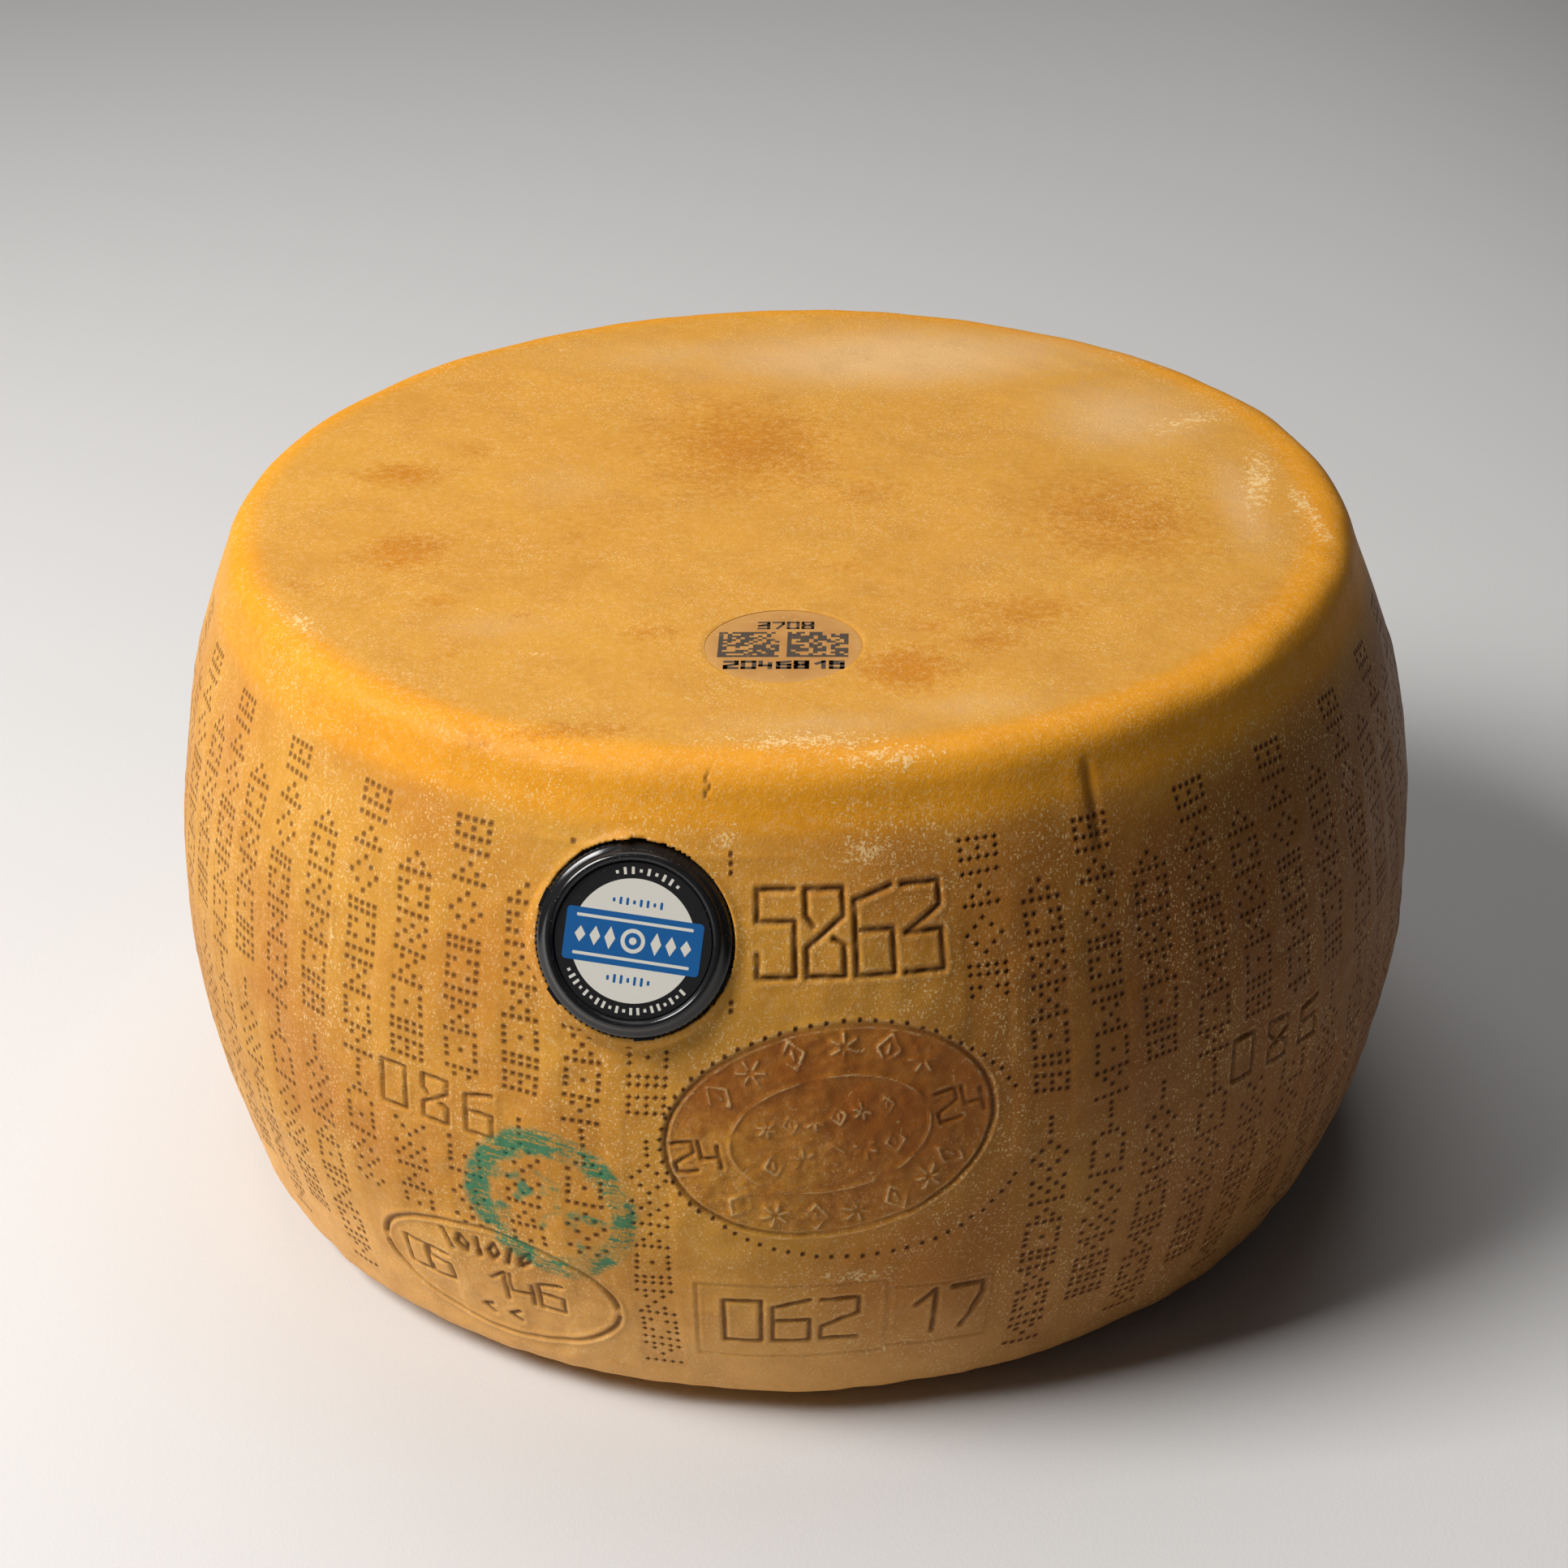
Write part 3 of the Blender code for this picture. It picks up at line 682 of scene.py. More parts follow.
def press_low_oval(side):
    """The low oval: a raised rim inside a groove that bites at its two ends."""
    groove_depth, rim_height, field_depth = 0.00100, 0.00035, 0.00018
    line_shade, lip_highlight = 0.55, 0.4
    away, angle = oval_distance(side.reach, side.height, LOW_OVAL_PLACE, LOW_OVAL_HALF, 0.0)
    line, endwards = np.abs(away), np.abs(np.cos(angle))
    notch = smooth_step(0.03, 0.10, np.abs(np.sin(angle)))
    ends = 0.45 + 0.55 * endwards**2
    side.out += -groove_depth * ends * notch * groove(line, 0.0014) + rim_height * lip(line, 0.0011)
    side.out += -field_depth * (1 - smooth_step(-0.0020, 0.0010, away))
    # Painted shade in the groove, strongest at its ends, and a painted highlight on its lip.
    side.paint_shade(endwards**1.5 * notch * groove(line, 0.0016))
    side.paint_shade(line_shade * groove(line, 0.0010))
    side.paint_highlight_and_scratch(lip_highlight * lip(line, 0.0010))


def press_folds(side):
    """The fold under the rim and the ridge beside it, a ridge at the left, a crack and a low step, with
    painted shade in the fold and the crack.
    """
    reach, height = side.reach, side.height
    fold = hump(reach - FOLD_REACH, 0.0020) * window(0.196, 0.206, 0.2215, 0.2265, height)
    shoulder = hump(reach - FOLD_REACH + 0.0050, 0.0055) * window(0.160, 0.205, 0.222, 0.228, height)
    ridge = hump(reach + 0.1630, 0.0011) * window(0.145, 0.152, 0.166, 0.173, height)
    bend = -0.0290 + 0.0008 * np.sin(height * 1500)
    crack = hump(reach - bend, 0.00055) * window(0.2225, 0.2245, 0.2300, 0.2315, height)
    step_height = 0.2085 + 0.03 * (reach + 0.05) ** 2
    step = hump(height - step_height, 0.0012) * window(-0.11, -0.08, -0.02, 0.01, reach)
    side.out += -0.0011 * fold + 0.00040 * shoulder + 0.0005 * ridge - 0.0006 * crack + 0.00022 * step
    # Painted shade in the fold and the crack.
    side.paint_shade(0.28 * fold)
    side.paint_shade(0.9 * crack)


def side_relief(reach, height):
    """The relief of the whole side, and how far each point lies within the large oval's field."""
    broad_depth, fine_depth = 0.00030, 0.00011
    side = Relief(reach, height)
    side.out += broad_depth * side.waves(11, 0.045, 0.16)
    side.out += fine_depth * side.waves(12, 0.010, 0.030) * smooth_step(0.210, 0.180, height)
    press_strokes(side)
    press_box(side)
    field = press_large_oval(side)
    press_low_oval(side)
    press_folds(side)
    return side.out, side.dark, side.pale, field


def wrapped(reach):
    """The same reach measured from the front, between half a round to the left and half to the right."""
    return (reach + BELLY_ROUND / 2) % BELLY_ROUND - BELLY_ROUND / 2


# Node trees


def math_methods(operation):
    """A value's method for one operation of the Math node, and its reflected form."""

    def method(self, other):
        return self.tree.math(operation, self, other)

    def reflected(self, other):
        return self.tree.math(operation, other, self)

    return method, reflected


class Value:
    """A socket of a node tree. Python's operators on it add the Math nodes that work them out."""

    def __init__(self, tree, socket):
        self.tree = tree
        self.socket = socket

    def math(self, operation, *others):
        return self.tree.math(operation, self, *others)

    __add__, __radd__ = math_methods("ADD")
    __sub__, __rsub__ = math_methods("SUBTRACT")
    __mul__, __rmul__ = math_methods("MULTIPLY")
    __truediv__, __rtruediv__ = math_methods("DIVIDE")
    __pow__, __rpow__ = math_methods("POWER")

    def __gt__(self, other):
        return self.math("GREATER_THAN", other)

    def __lt__(self, other):
        return self.math("LESS_THAN", other)

    def __abs__(self):
        return self.math("ABSOLUTE")

    def clamped(self):
        return self.tree.math("ADD", self, 0.0, clamp=True)

    def smooth(self, low, high):
        """0 below low, 1 above high, and a smooth step between them. High may be the lower of the two."""
        sockets = {"Value": self, "From Min": low, "From Max": high}
        return self.tree.take("ShaderNodeMapRange", {"interpolation_type": "SMOOTHSTEP"}, sockets)


class Tree:
    """A node tree being built."""

    def __init__(self, tree):
        self.tree = tree

    def node(self, kind, settings=None, sockets=None):
        """A new node of a type, with its settings and then the values or links of its sockets."""
        made = self.tree.nodes.new(kind)
        for name, value in (settings or {}).items():
            setattr(made, name, value)
        for name, value in (sockets or {}).items():
            self.feed(made.inputs[name], value)
        return made

    def feed(self, socket, value):
        if isinstance(value, Value):
            self.tree.links.new(value.socket, socket)
        else:
            socket.default_value = value

    def take(self, kind, settings=None, sockets=None, output=0):
        return Value(self, self.node(kind, settings, sockets).outputs[output])

    def math(self, operation, *values, clamp=False):
        sockets = dict(enumerate(values))
        return self.take("ShaderNodeMath", {"operation": operation, "use_clamp": clamp}, sockets)

    def vector(self, operation, *values, output=0, **named):
        sockets = dict(enumerate(values))
        sockets.update(named)
        return self.take("ShaderNodeVectorMath", {"operation": operation}, sockets, output)


class Paint(Tree):
    """A material's node tree with one Principled shader, painted in layers over a ground colour."""

    def __init__(self, name, ground):
        self.material = bpy.data.materials.new(name)
        self.material.use_nodes = True
        self.material.node_tree.nodes.clear()
        super().__init__(self.material.node_tree)
        self.shader = self.node("ShaderNodeBsdfPrincipled")
        end = self.node("ShaderNodeOutputMaterial")
        self.tree.links.new(self.shader.outputs[0], end.inputs[0])
        self.place = self.take("ShaderNodeTexCoord", output="Object")
        self.colour = (*ground, 1.0)

    def noise(self, scale, detail, roughness, place=None, output=0):
        """A noise over the object's own coordinates, or over another place."""
        sockets = {"Vector": place or self.place, "Scale": scale, "Detail": detail, "Roughness": roughness}
        return self.take("ShaderNodeTexNoise", {}, sockets, output)

    def attribute(self, name, output="Fac"):
        return self.take("ShaderNodeAttribute", {"attribute_name": name}, {}, output)

    def parts(self, vector):
        """The three numbers of a vector."""
        split = self.node("ShaderNodeSeparateXYZ", {}, {0: vector})
        return [Value(self, output) for output in split.outputs]

    def layer(self, share, colour):
        """Paints a plain colour over what is there, by a share from 0 to 1."""
        settings = {"data_type": "RGBA", "blend_type": "MIX", "clamp_factor": True}
        self.colour = self.take("ShaderNodeMix", settings, {0: share, 6: self.colour, 7: (*colour, 1.0)}, 2)

    def finish(self, roughness, relief, strength, distance):
        """Feeds the shader with the painted colour, a roughness and a fine relief."""
        sockets = {"Height": relief, "Strength": strength, "Distance": distance}
        self.feed(self.shader.inputs["Base Color"], self.colour)
        self.feed(self.shader.inputs["Roughness"], roughness.clamped())
        self.feed(self.shader.inputs["Normal"], self.take("ShaderNodeBump", {}, sockets))
        return self.material


def shaded(colour, share):
    return tuple(channel * share for channel in colour)


def finish_named(name, make, *details):
    """The material of that name, made once."""
    return bpy.data.materials.get(name) or make(name, *details)


def flecks(paint, place, scale, share, stretch, turn):
    """Small pale crystal marks of random size, stretched one way. 1 on a mark and 0 elsewhere."""
    largest, soft_edge = 0.30, (0.10, -0.02)
    mapping = {"Vector": place, "Rotation": (0.0, 0.0, turn), "Scale": stretch}
    cells = {"Vector": paint.take("ShaderNodeMapping", {}, mapping), "Scale": scale}
    cell = paint.node("ShaderNodeTexVoronoi", {"voronoi_dimensions": "2D"}, cells)
    distance = Value(paint, cell.outputs["Distance"])
    chance = paint.take("ShaderNodeSeparateColor", {}, {0: Value(paint, cell.outputs["Color"])})
    size = (chance - (1 - share)) / share
    return (distance - size * largest).smooth(*soft_edge) * (size > 0.0)


class RindPaint(Paint):
    """The rind's material: what its layers share, and one method for each group of layers."""

    def __init__(self, name, ground):
        super().__init__(name, ground)
        self.skin = self.attribute("skin", "Vector")
        self.x, self.y, self.height = self.parts(self.place)
        self.radius = (self.x * self.x + self.y * self.y) ** 0.5
        self.reach, self.level, _ = self.parts(self.skin)
        self.broad = self.noise(13.0, 4.0, 0.55)
        self.medium = self.noise(62.0, 4.0, 0.6)
        self.fine = self.noise(330.0, 4.0, 0.65)
        self.grain = self.noise(1300.0, 3.0, 0.6)
        self.side = self.height.smooth(0.2300, 0.2180)

    def zones(self, looks):
        """Golden and amber mottling, a paler foot, a duller top and an orange rim."""
        wander = self.medium - 0.5
        top = self.height.smooth(0.2312, 0.2332) * self.radius.smooth(0.1835, 0.1750)
        above = (self.height + wander * 0.006).smooth(0.2105, 0.2190)
        outside = (self.radius + wander * 0.008).smooth(0.1745, 0.1840)
        low = (self.height + (self.broad - 0.5) * 0.05).smooth(0.085, 0.020)
        self.layer(self.broad.smooth(0.36, 0.68), looks.amber)
        self.layer(low * 0.85, looks.low_tan)
        self.layer(top * 0.75, looks.top_tan)
        self.layer(above * outside * (0.88 + 0.5 * wander).clamped(), looks.rim_orange)

    def weathering_and_shade(self, looks):
        """Faded patches, stains, brown mottling, painted shade in the sunk dotted bands and painted shade
        over the right-hand side.
        """
        coarse, small = self.medium - 0.5, self.fine - 0.5
        patch, stain, band = (self.attribute(name) for name in ("patch", "stain", "band"))
        self.layer((patch + coarse * 0.4 + small * 0.7).smooth(0.12, 0.95) * 0.70, looks.pale)
        blot = (stain * 1.1 + small * 1.3 + coarse * 0.5).smooth(0.08, 1.05) * stain.smooth(0.0, 0.30)
        self.layer(blot * 0.85, looks.stain)
        self.layer(coarse.smooth(-0.10, 0.22) * 0.16, looks.brown)
        self.layer((self.fine.smooth(0.50, 0.70) + self.grain.smooth(0.54, 0.74)) * 0.13, looks.brown)
        self.layer(self.fine.smooth(0.48, 0.30) * 0.20, looks.pale)
        # Painted shade: browner in the sunk bands that the columns were pressed with.
        self.layer(band * (0.10 + 0.5 * (self.medium - 0.4)).clamped() * 0.55, looks.brown)
        # Painted shade: the rind is darkened towards the right-hand side, where the light falls away.
        right_side_shade_share = (self.x + (self.broad - 0.5) * 0.05).smooth(-0.030, 0.150) * self.height.smooth(0.224, 0.198)
        self.layer(right_side_shade_share * 0.72, looks.right_side_shade)

    def crystals(self, looks):
        """Pale flecks in two directions and finer specks, denser in some places than in others."""
        crowd = self.noise(26.0, 3.0, 0.6, self.skin).smooth(0.30, 0.70)
        bend = self.noise(900.0, 2.0, 0.6, self.skin, output=1)
        bent = self.vector("MULTIPLY_ADD", bend, (0.0009, 0.0009, 0.0), self.skin)
        mark = flecks(self, bent, 950.0, 0.36, (1.0, 0.50, 1.0), 0.5)
        mark = mark.math("MAXIMUM", flecks(self, bent, 1150.0, 0.30, (0.50, 1.0, 1.0), 0.2))
        mark = mark * (0.10 + 0.90 * crowd) * (0.50 + 0.50 * self.side)
        speck = self.grain.smooth(0.57, 0.68) * (0.30 + 0.70 * crowd)
        self.layer(mark * 0.62, looks.fleck_and_highlight)
        self.layer(speck * 0.42, looks.fleck_and_highlight)
        return mark

    def scuffs(self, looks):
        """Flaky pale scuffs along the rim and here and there on the side."""
        flake = self.attribute("flake")
        frayed = self.noise(900.0, 3.0, 0.75, self.skin)
        scuff = (flake * 0.80 + (frayed - 0.5) * 2.4 + (self.fine - 0.5) * 2.2).smooth(0.60, 0.86)
        scuff = scuff * flake.smooth(0.02, 0.30)
        self.layer(scuff * 0.68, looks.fleck_and_highlight)
        return scuff

    def marks(self, looks):
        """The brown field of the large oval, painted highlights on lips and raised shapes with pale
        scratches, and painted shade in the grooves and in the bottoms of the pressed dots.
        """
        dark, pale = self.attribute("mark_dark"), self.attribute("mark_pale")
        field, pit = self.attribute("oval_field"), self.attribute("pit")
        small = self.fine - 0.5
        upper = (self.level + self.reach * 0.25).smooth(0.100, 0.140)
        browned = field * (0.34 + 0.42 * upper + 1.1 * (self.medium - 0.45) + 0.7 * small).clamped()
        self.layer(browned, looks.oval_brown)
        self.layer(field * self.fine.smooth(0.50, 0.66) * 0.35, looks.brown)
        # Painted highlights on raised lips and shapes, and pale scratches in the large oval's field.
        self.layer((pale + small * 0.9).smooth(0.22, 0.72) * 0.55, looks.fleck_and_highlight)
        # Painted shade in the grooves, folds and cracks.
        self.layer((dark * (0.80 + 0.7 * (self.fine - 0.4))).clamped() * 0.90, looks.groove_shade)
        # Painted shade in the bottoms of the pressed dots, stronger towards the right-hand side where the
        # light falls away.
        bottom = (pit + small * 0.35 * pit.smooth(0.0, 0.3)).smooth(0.04, 0.52)
        self.layer(bottom * (0.74 + 0.24 * self.x.smooth(-0.12, 0.06)), looks.pit_shade)
        return pit

    def ink(self, looks):
        """The green ink: a worn ring with blotches inside it, streaked by the rind's own grain."""
        middle, band = looks.stamp_radius, looks.stamp_band
        right, up = self.reach - looks.stamp_reach, self.level - looks.stamp_level
        away = (right * right + up * up) ** 0.5
        wobble = (self.noise(95.0, 1.0, 0.6, self.skin) - 0.5) * 0.004
        ring = abs(away + wobble - middle).smooth(band * 0.5, band * 0.18)
        mapping = {"Vector": self.skin, "Rotation": (0.0, 0.0, 0.35), "Scale": (90.0, 520.0, 1.0)}
        brushed = self.noise(1.0, 3.0, 0.7, self.take("ShaderNodeMapping", {}, mapping))
        speckle = self.noise(900.0, 2.0, 0.7, self.skin)
        patchy = self.noise(75.0, 2.0, 0.6, self.skin)
        strong = (up * 0.6 - right * 0.8).smooth(-0.030, 0.026)
        worn = (brushed * 0.55 + speckle * 0.25 + patchy * 0.45 + strong * 0.08).smooth(0.60, 0.74)
        blob = self.noise(120.0, 1.0, 0.5, self.skin).smooth(0.52, 0.66) * away.smooth(middle, middle * 0.7)
        full = (ring * 1.1).math("MAXIMUM", blob * 0.85) * worn
        faint = (ring * 0.34 + blob * 0.16) * speckle.smooth(0.30, 0.62)
        self.layer((full + faint).clamped() * 0.92 * self.side, looks.ink_green)


def rind_finish(name, looks):
    """Oiled golden rind with an orange rim, pale flecks and scuffs, brown marks and a worn green ink ring,
    with painted shade in its grooves, dots and sunk bands and over its right-hand side, and painted
    highlights on raised lips and shapes.
    """
    paint = RindPaint(name, looks.golden)
    paint.zones(looks)
    paint.weathering_and_shade(looks)
    mark = paint.crystals(looks)
    scuff = paint.scuffs(looks)
    pit = paint.marks(looks)
    paint.ink(looks)
    paint.shader.inputs["Specular IOR Level"].default_value = SKIN_SPECULAR
    gloss = 0.38 + 0.18 * paint.medium + 0.10 * mark + 0.12 * scuff + 0.10 * pit
    return paint.finish(gloss, paint.grain * 0.40 + paint.fine * 0.60, 0.60, 0.00055)


def cap_finish(name, colour):
    """Glossy black moulded plastic with dust and fine scratches."""
    paint = Paint(name, colour)
    dust = paint.noise(900.0, 3.0, 0.7)
    smear = paint.noise(90.0, 3.0, 0.6)
    specks = dust.smooth(0.66, 0.74)
    paint.layer(specks * 0.55 + smear.smooth(0.5, 0.9) * 0.03, CAP_DUST)
    return paint.finish(0.11 + 0.12 * smear + 0.35 * specks, smear * 0.4 + dust * 0.2, 0.12, 0.0002)


def print_finish(name, colour, roughness=0.32):
    """Printed film: one ink with faint mottling, dust specks and a slight sheen."""
    paint = Paint(name, colour)
    mottle = paint.noise(700.0, 3.0, 0.6)
    dust = paint.noise(1500.0, 2.0, 0.6).smooth(0.72, 0.78)
    paint.layer(mottle * 0.10, shaded(colour, 0.6))
    paint.layer(dust * 0.35, LABEL_DUST)
    return paint.finish(roughness + 0.15 * mottle, mottle, 0.06, 0.0001)


def casein_finish(name, colour, edge_colour):
    """Amber casein: a waxy thin plate, cloudier towards its rim, with pale pinholes."""
    paint = Paint(name, colour)
    cloud = paint.noise(120.0, 4.0, 0.6)
    pinholes = paint.noise(1100.0, 2.0, 0.6).smooth(0.66, 0.74)
    paint.layer(cloud.smooth(0.35, 0.70) * 0.5, edge_colour)
    paint.layer(paint.attribute("plate_rim") * 0.55, edge_colour)
    paint.layer(pinholes * 0.5, PINHOLE)
    return paint.finish(0.34 + 0.22 * cloud, cloud * 0.5 + pinholes * 0.3, 0.3, 0.0003)


def worn_ink_finish(name, colour, ground):
    """Dark ink under the casein, broken where the casein shows through."""
    paint = Paint(name, colour)
    broken = paint.noise(750.0, 4.0, 0.7)
    gaps = paint.noise(230.0, 2.0, 0.5).smooth(0.60, 0.75)
    paint.layer(broken.smooth(0.60, 0.70) * 0.75 + gaps * 0.25, ground)
    return paint.finish(0.45 + 0.2 * broken, broken, 0.1, 0.0001)


def floor_finish(name, colour):
    """Plain pale table cloth with a very fine weave, a little cloudy, and painted shade far to the right."""
    paint = Paint(name, colour)
    weave = paint.noise(900.0, 2.0, 0.5)
    cloud = paint.noise(2.2, 2.0, 0.5)
    across, _, _ = paint.parts(paint.place)
    paint.layer(cloud * 0.25, shaded(colour, 0.94))
    # Painted shade: the cloth is darker far to the right, where less light falls.
    paint.layer(across.smooth(0.35, 1.0) * 0.75, shaded(colour, 0.52))
    return paint.finish(0.80 + 0.1 * weave, weave, 0.12, 0.0006)


# Geometry node trees


def new_node_group(name, sockets):
    """A geometry node tree with named inputs, given as name, kind and default."""
    group = bpy.data.node_groups.new(name, "GeometryNodeTree")
    group.interface.new_socket("Geometry", in_out="INPUT", socket_type="NodeSocketGeometry")
    group.interface.new_socket("Geometry", in_out="OUTPUT", socket_type="NodeSocketGeometry")
    for label, kind, default in sockets:
        socket = group.interface.new_socket(label, in_out="INPUT", socket_type="NodeSocket" + kind)
        if default is not None:
            socket.default_value = default
    tree = Tree(group)
    source = tree.node("NodeGroupInput")
    inputs = {output.name: Value(tree, output) for output in source.outputs if output.name}
    return group, tree, inputs


def end_node_group(tree, parts, material):
    """The last steps of every tree: parts joined, instances made real, the material set, and the output."""
    joined = tree.node("GeometryNodeJoinGeometry")
    for part in parts:
        tree.tree.links.new(part.socket, joined.inputs[0])
    real = tree.take("GeometryNodeRealizeInstances", {}, {0: Value(tree, joined.outputs[0])})
    painted = tree.take("GeometryNodeSetMaterial", {}, {"Geometry": real, "Material": material})
    tree.node("NodeGroupOutput", {}, {0: painted})


def pressed_pins_group():
    """Draws the rind's points in to each pin: the nearest goes to a pit's bottom, the others to its edge. It
    stores where the pits lie, for the shade that the rind's material paints in them.
    """
    known = bpy.data.node_groups.get("pressed_pins")
    if known:
        return known
    group, tree, given = new_node_group(
        "pressed_pins",
        (
            ("Pins", "Object", None),
            ("Pit radius", "Float", 0.0005),
            ("Pit depth", "Float", 0.001),
            ("Pull", "Float", 0.001),
            ("Unevenness", "Float", 0.4),
            ("Material", "Material", None),
        ),
    )
    at_middle, edge_shade = 0.00005, 0.58
    pins = tree.take("GeometryNodeObjectInfo", {}, {"Object": given["Pins"]}, "Geometry")
    near = tree.node("GeometryNodeProximity", {"target_element": "POINTS"}, {0: pins})
    spot, distance = Value(tree, near.outputs["Position"]), Value(tree, near.outputs["Distance"])
    position = tree.take("GeometryNodeInputPosition")
    normal = tree.take("GeometryNodeInputNormal")
    middle = distance < at_middle
    ring = (distance < given["Pull"]) - middle
    worn = tree.take("ShaderNodeTexNoise", {}, {"Vector": spot, "Scale": 140.0, "Detail": 1.0})
    depth = given["Pit depth"] * (1 - given["Unevenness"] * worn.smooth(0.35, 0.70))
    way = tree.vector("NORMALIZE", tree.vector("SUBTRACT", position, spot))
    edge = tree.vector("ADD", spot, tree.vector("SCALE", way, Scale=given["Pit radius"]))
    edge_move = tree.vector("SCALE", tree.vector("SUBTRACT", edge, position), Scale=ring)
    pit_move = tree.vector("SCALE", normal, Scale=-1.0 * depth * middle)
    sockets = {"Geometry": given["Geometry"], "Name": "pit", "Value": middle + ring * edge_shade}
    stored = tree.take("GeometryNodeStoreNamedAttribute", {"data_type": "FLOAT", "domain": "POINT"}, sockets)
    sockets = {"Geometry": stored, "Offset": tree.vector("ADD", edge_move, pit_move)}
    end_node_group(tree, [tree.take("GeometryNodeSetPosition", {}, sockets)], given["Material"])
    return group


def skirt_ribs_group():
    """Stands half-round ribs and lugs round the cap's skirt, all pointing outwards."""
    group, tree, given = new_node_group(
        "skirt_ribs",
        (
            ("Rib count", "Int", 90),
            ("Rib radius", "Float", 0.0005),
            ("Rib length", "Float", 0.005),
            ("Rib height", "Float", 0.0036),
            ("Skirt radius", "Float", 0.029),
            ("Lug count", "Int", 6),
            ("Lug size", "Vector", (0.006, 0.003, 0.003)),
            ("Lug height", "Float", 0.0044),
            ("Lug turn", "Float", 0.1),
            ("Material", "Material", None),
        ),
    )

    def set_round(count, height, turn, shape):
        circle = tree.take("GeometryNodeMeshCircle", {}, {"Vertices": count, "Radius": given["Skirt radius"]})
        position = tree.take("GeometryNodeInputPosition")
        facing = tree.take("FunctionNodeAlignEulerToVector", {"axis": "X"}, {"Vector": position})
        sockets = {"Points": circle, "Instance": shape, "Rotation": facing}
        placed = tree.take("GeometryNodeInstanceOnPoints", {}, sockets)
        lifted = tree.take("ShaderNodeCombineXYZ", {}, {2: height})
        spun = tree.take("ShaderNodeCombineXYZ", {}, {2: turn})
        sockets = {"Geometry": placed, "Translation": lifted, "Rotation": spun}
        return tree.take("GeometryNodeTransform", {}, sockets)

    sockets = {"Vertices": 8, "Radius": given["Rib radius"], "Depth": given["Rib length"]}
    rib = tree.take("GeometryNodeMeshCylinder", {}, sockets)
    ribs = set_round(given["Rib count"], given["Rib height"], 0.0, rib)
    lug = tree.take("GeometryNodeMeshCube", {}, {"Size": given["Lug size"]})
    soft = tree.take("GeometryNodeSubdivideMesh", {}, {"Mesh": lug, "Level": 1})
    lugs = set_round(given["Lug count"], given["Lug height"], given["Lug turn"], soft)
    end_node_group(tree, [given["Geometry"], ribs, lugs], given["Material"])
    return group


def ring_marks_group():
    """Lays small flat marks, long and short, round part of a ring, each turned to the ring's middle."""
    group, tree, given = new_node_group(
        "ring_marks",
        (
            ("Count", "Int", 12),
            ("Ring radius", "Float", 0.02),
            ("First angle", "Float", 0.0),
            ("Sweep angle", "Float", 1.0),
            ("Mark size", "Vector", (0.001, 0.002, 0.00005)),
            ("Lift", "Float", 0.0),
            ("Material", "Material", None),
        ),
    )
    sockets = {
        "Resolution": given["Count"],
        "Radius": given["Ring radius"],
        "Start Angle": given["First angle"],
        "Sweep Angle": given["Sweep angle"],
    }
    arc = tree.take("GeometryNodeCurveArc", {"mode": "RADIUS"}, sockets)
    points = tree.take("GeometryNodeCurveToPoints", {"mode": "EVALUATED"}, {0: arc})
    position = tree.take("GeometryNodeInputPosition")
    facing = tree.take("FunctionNodeAlignEulerToVector", {"axis": "Y"}, {"Vector": position})
    mark = tree.take("GeometryNodeMeshCube", {}, {"Size": given["Mark size"]})
    order = tree.take("GeometryNodeInputIndex")
    length = 0.45 + 0.55 * (tree.math("MODULO", order * 0.618 + 0.2, 1.0) > 0.42)
    scale = tree.take("ShaderNodeCombineXYZ", {}, {0: 1.0, 1: length, 2: 1.0})
    sockets = {"Points": points, "Instance": mark, "Rotation": facing, "Scale": scale}
    placed = tree.take("GeometryNodeInstanceOnPoints", {}, sockets)
    lift = tree.take("ShaderNodeCombineXYZ", {}, {2: given["Lift"]})
    lifted = tree.take("GeometryNodeTransform", {}, {"Geometry": placed, "Translation": lift})
    end_node_group(tree, [given["Geometry"], lifted], given["Material"])
    return group


# Meshes and objects


def new_object(name, mesh):
    thing = bpy.data.objects.new(name, mesh)
    bpy.context.scene.collection.objects.link(thing)
    return thing


def apply_nodes(thing, group, values):
    """Runs a node tree on an object once and keeps the result as its plain mesh."""
    modifier = thing.modifiers.new(group.name, "NODES")
    modifier.node_group = group
    for item in group.interface.items_tree:
        if item.item_type == "SOCKET" and item.in_out == "INPUT" and item.name in values:
            modifier[item.identifier] = values[item.name]
    bpy.context.view_layer.update()
    graph = bpy.context.evaluated_depsgraph_get()
    mesh = bpy.data.meshes.new_from_object(thing.evaluated_get(graph), depsgraph=graph)
    thing.modifiers.remove(modifier)
    old = thing.data
    name = old.name
    thing.data = mesh
    bpy.data.meshes.remove(old)
    mesh.name = name
    return thing


def finish_piece(thing, slot, *nodes):
    """Every finished piece rides on the wheel's one body and stands for its solid; its slot is not used."""
    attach(thing, "root")
    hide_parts(*nodes)
    return thing


def set_attribute(mesh, name, values, kind="FLOAT"):
    attribute = mesh.attributes.new(name, kind, "POINT")
    key = "value" if kind == "FLOAT" else "vector"
    attribute.data.foreach_set(key, np.ascontiguousarray(values, dtype=np.float32).ravel())


def vertex_places(mesh):
    places = np.zeros(len(mesh.vertices) * 3)
    mesh.vertices.foreach_get("co", places)
    return places.reshape(-1, 3)


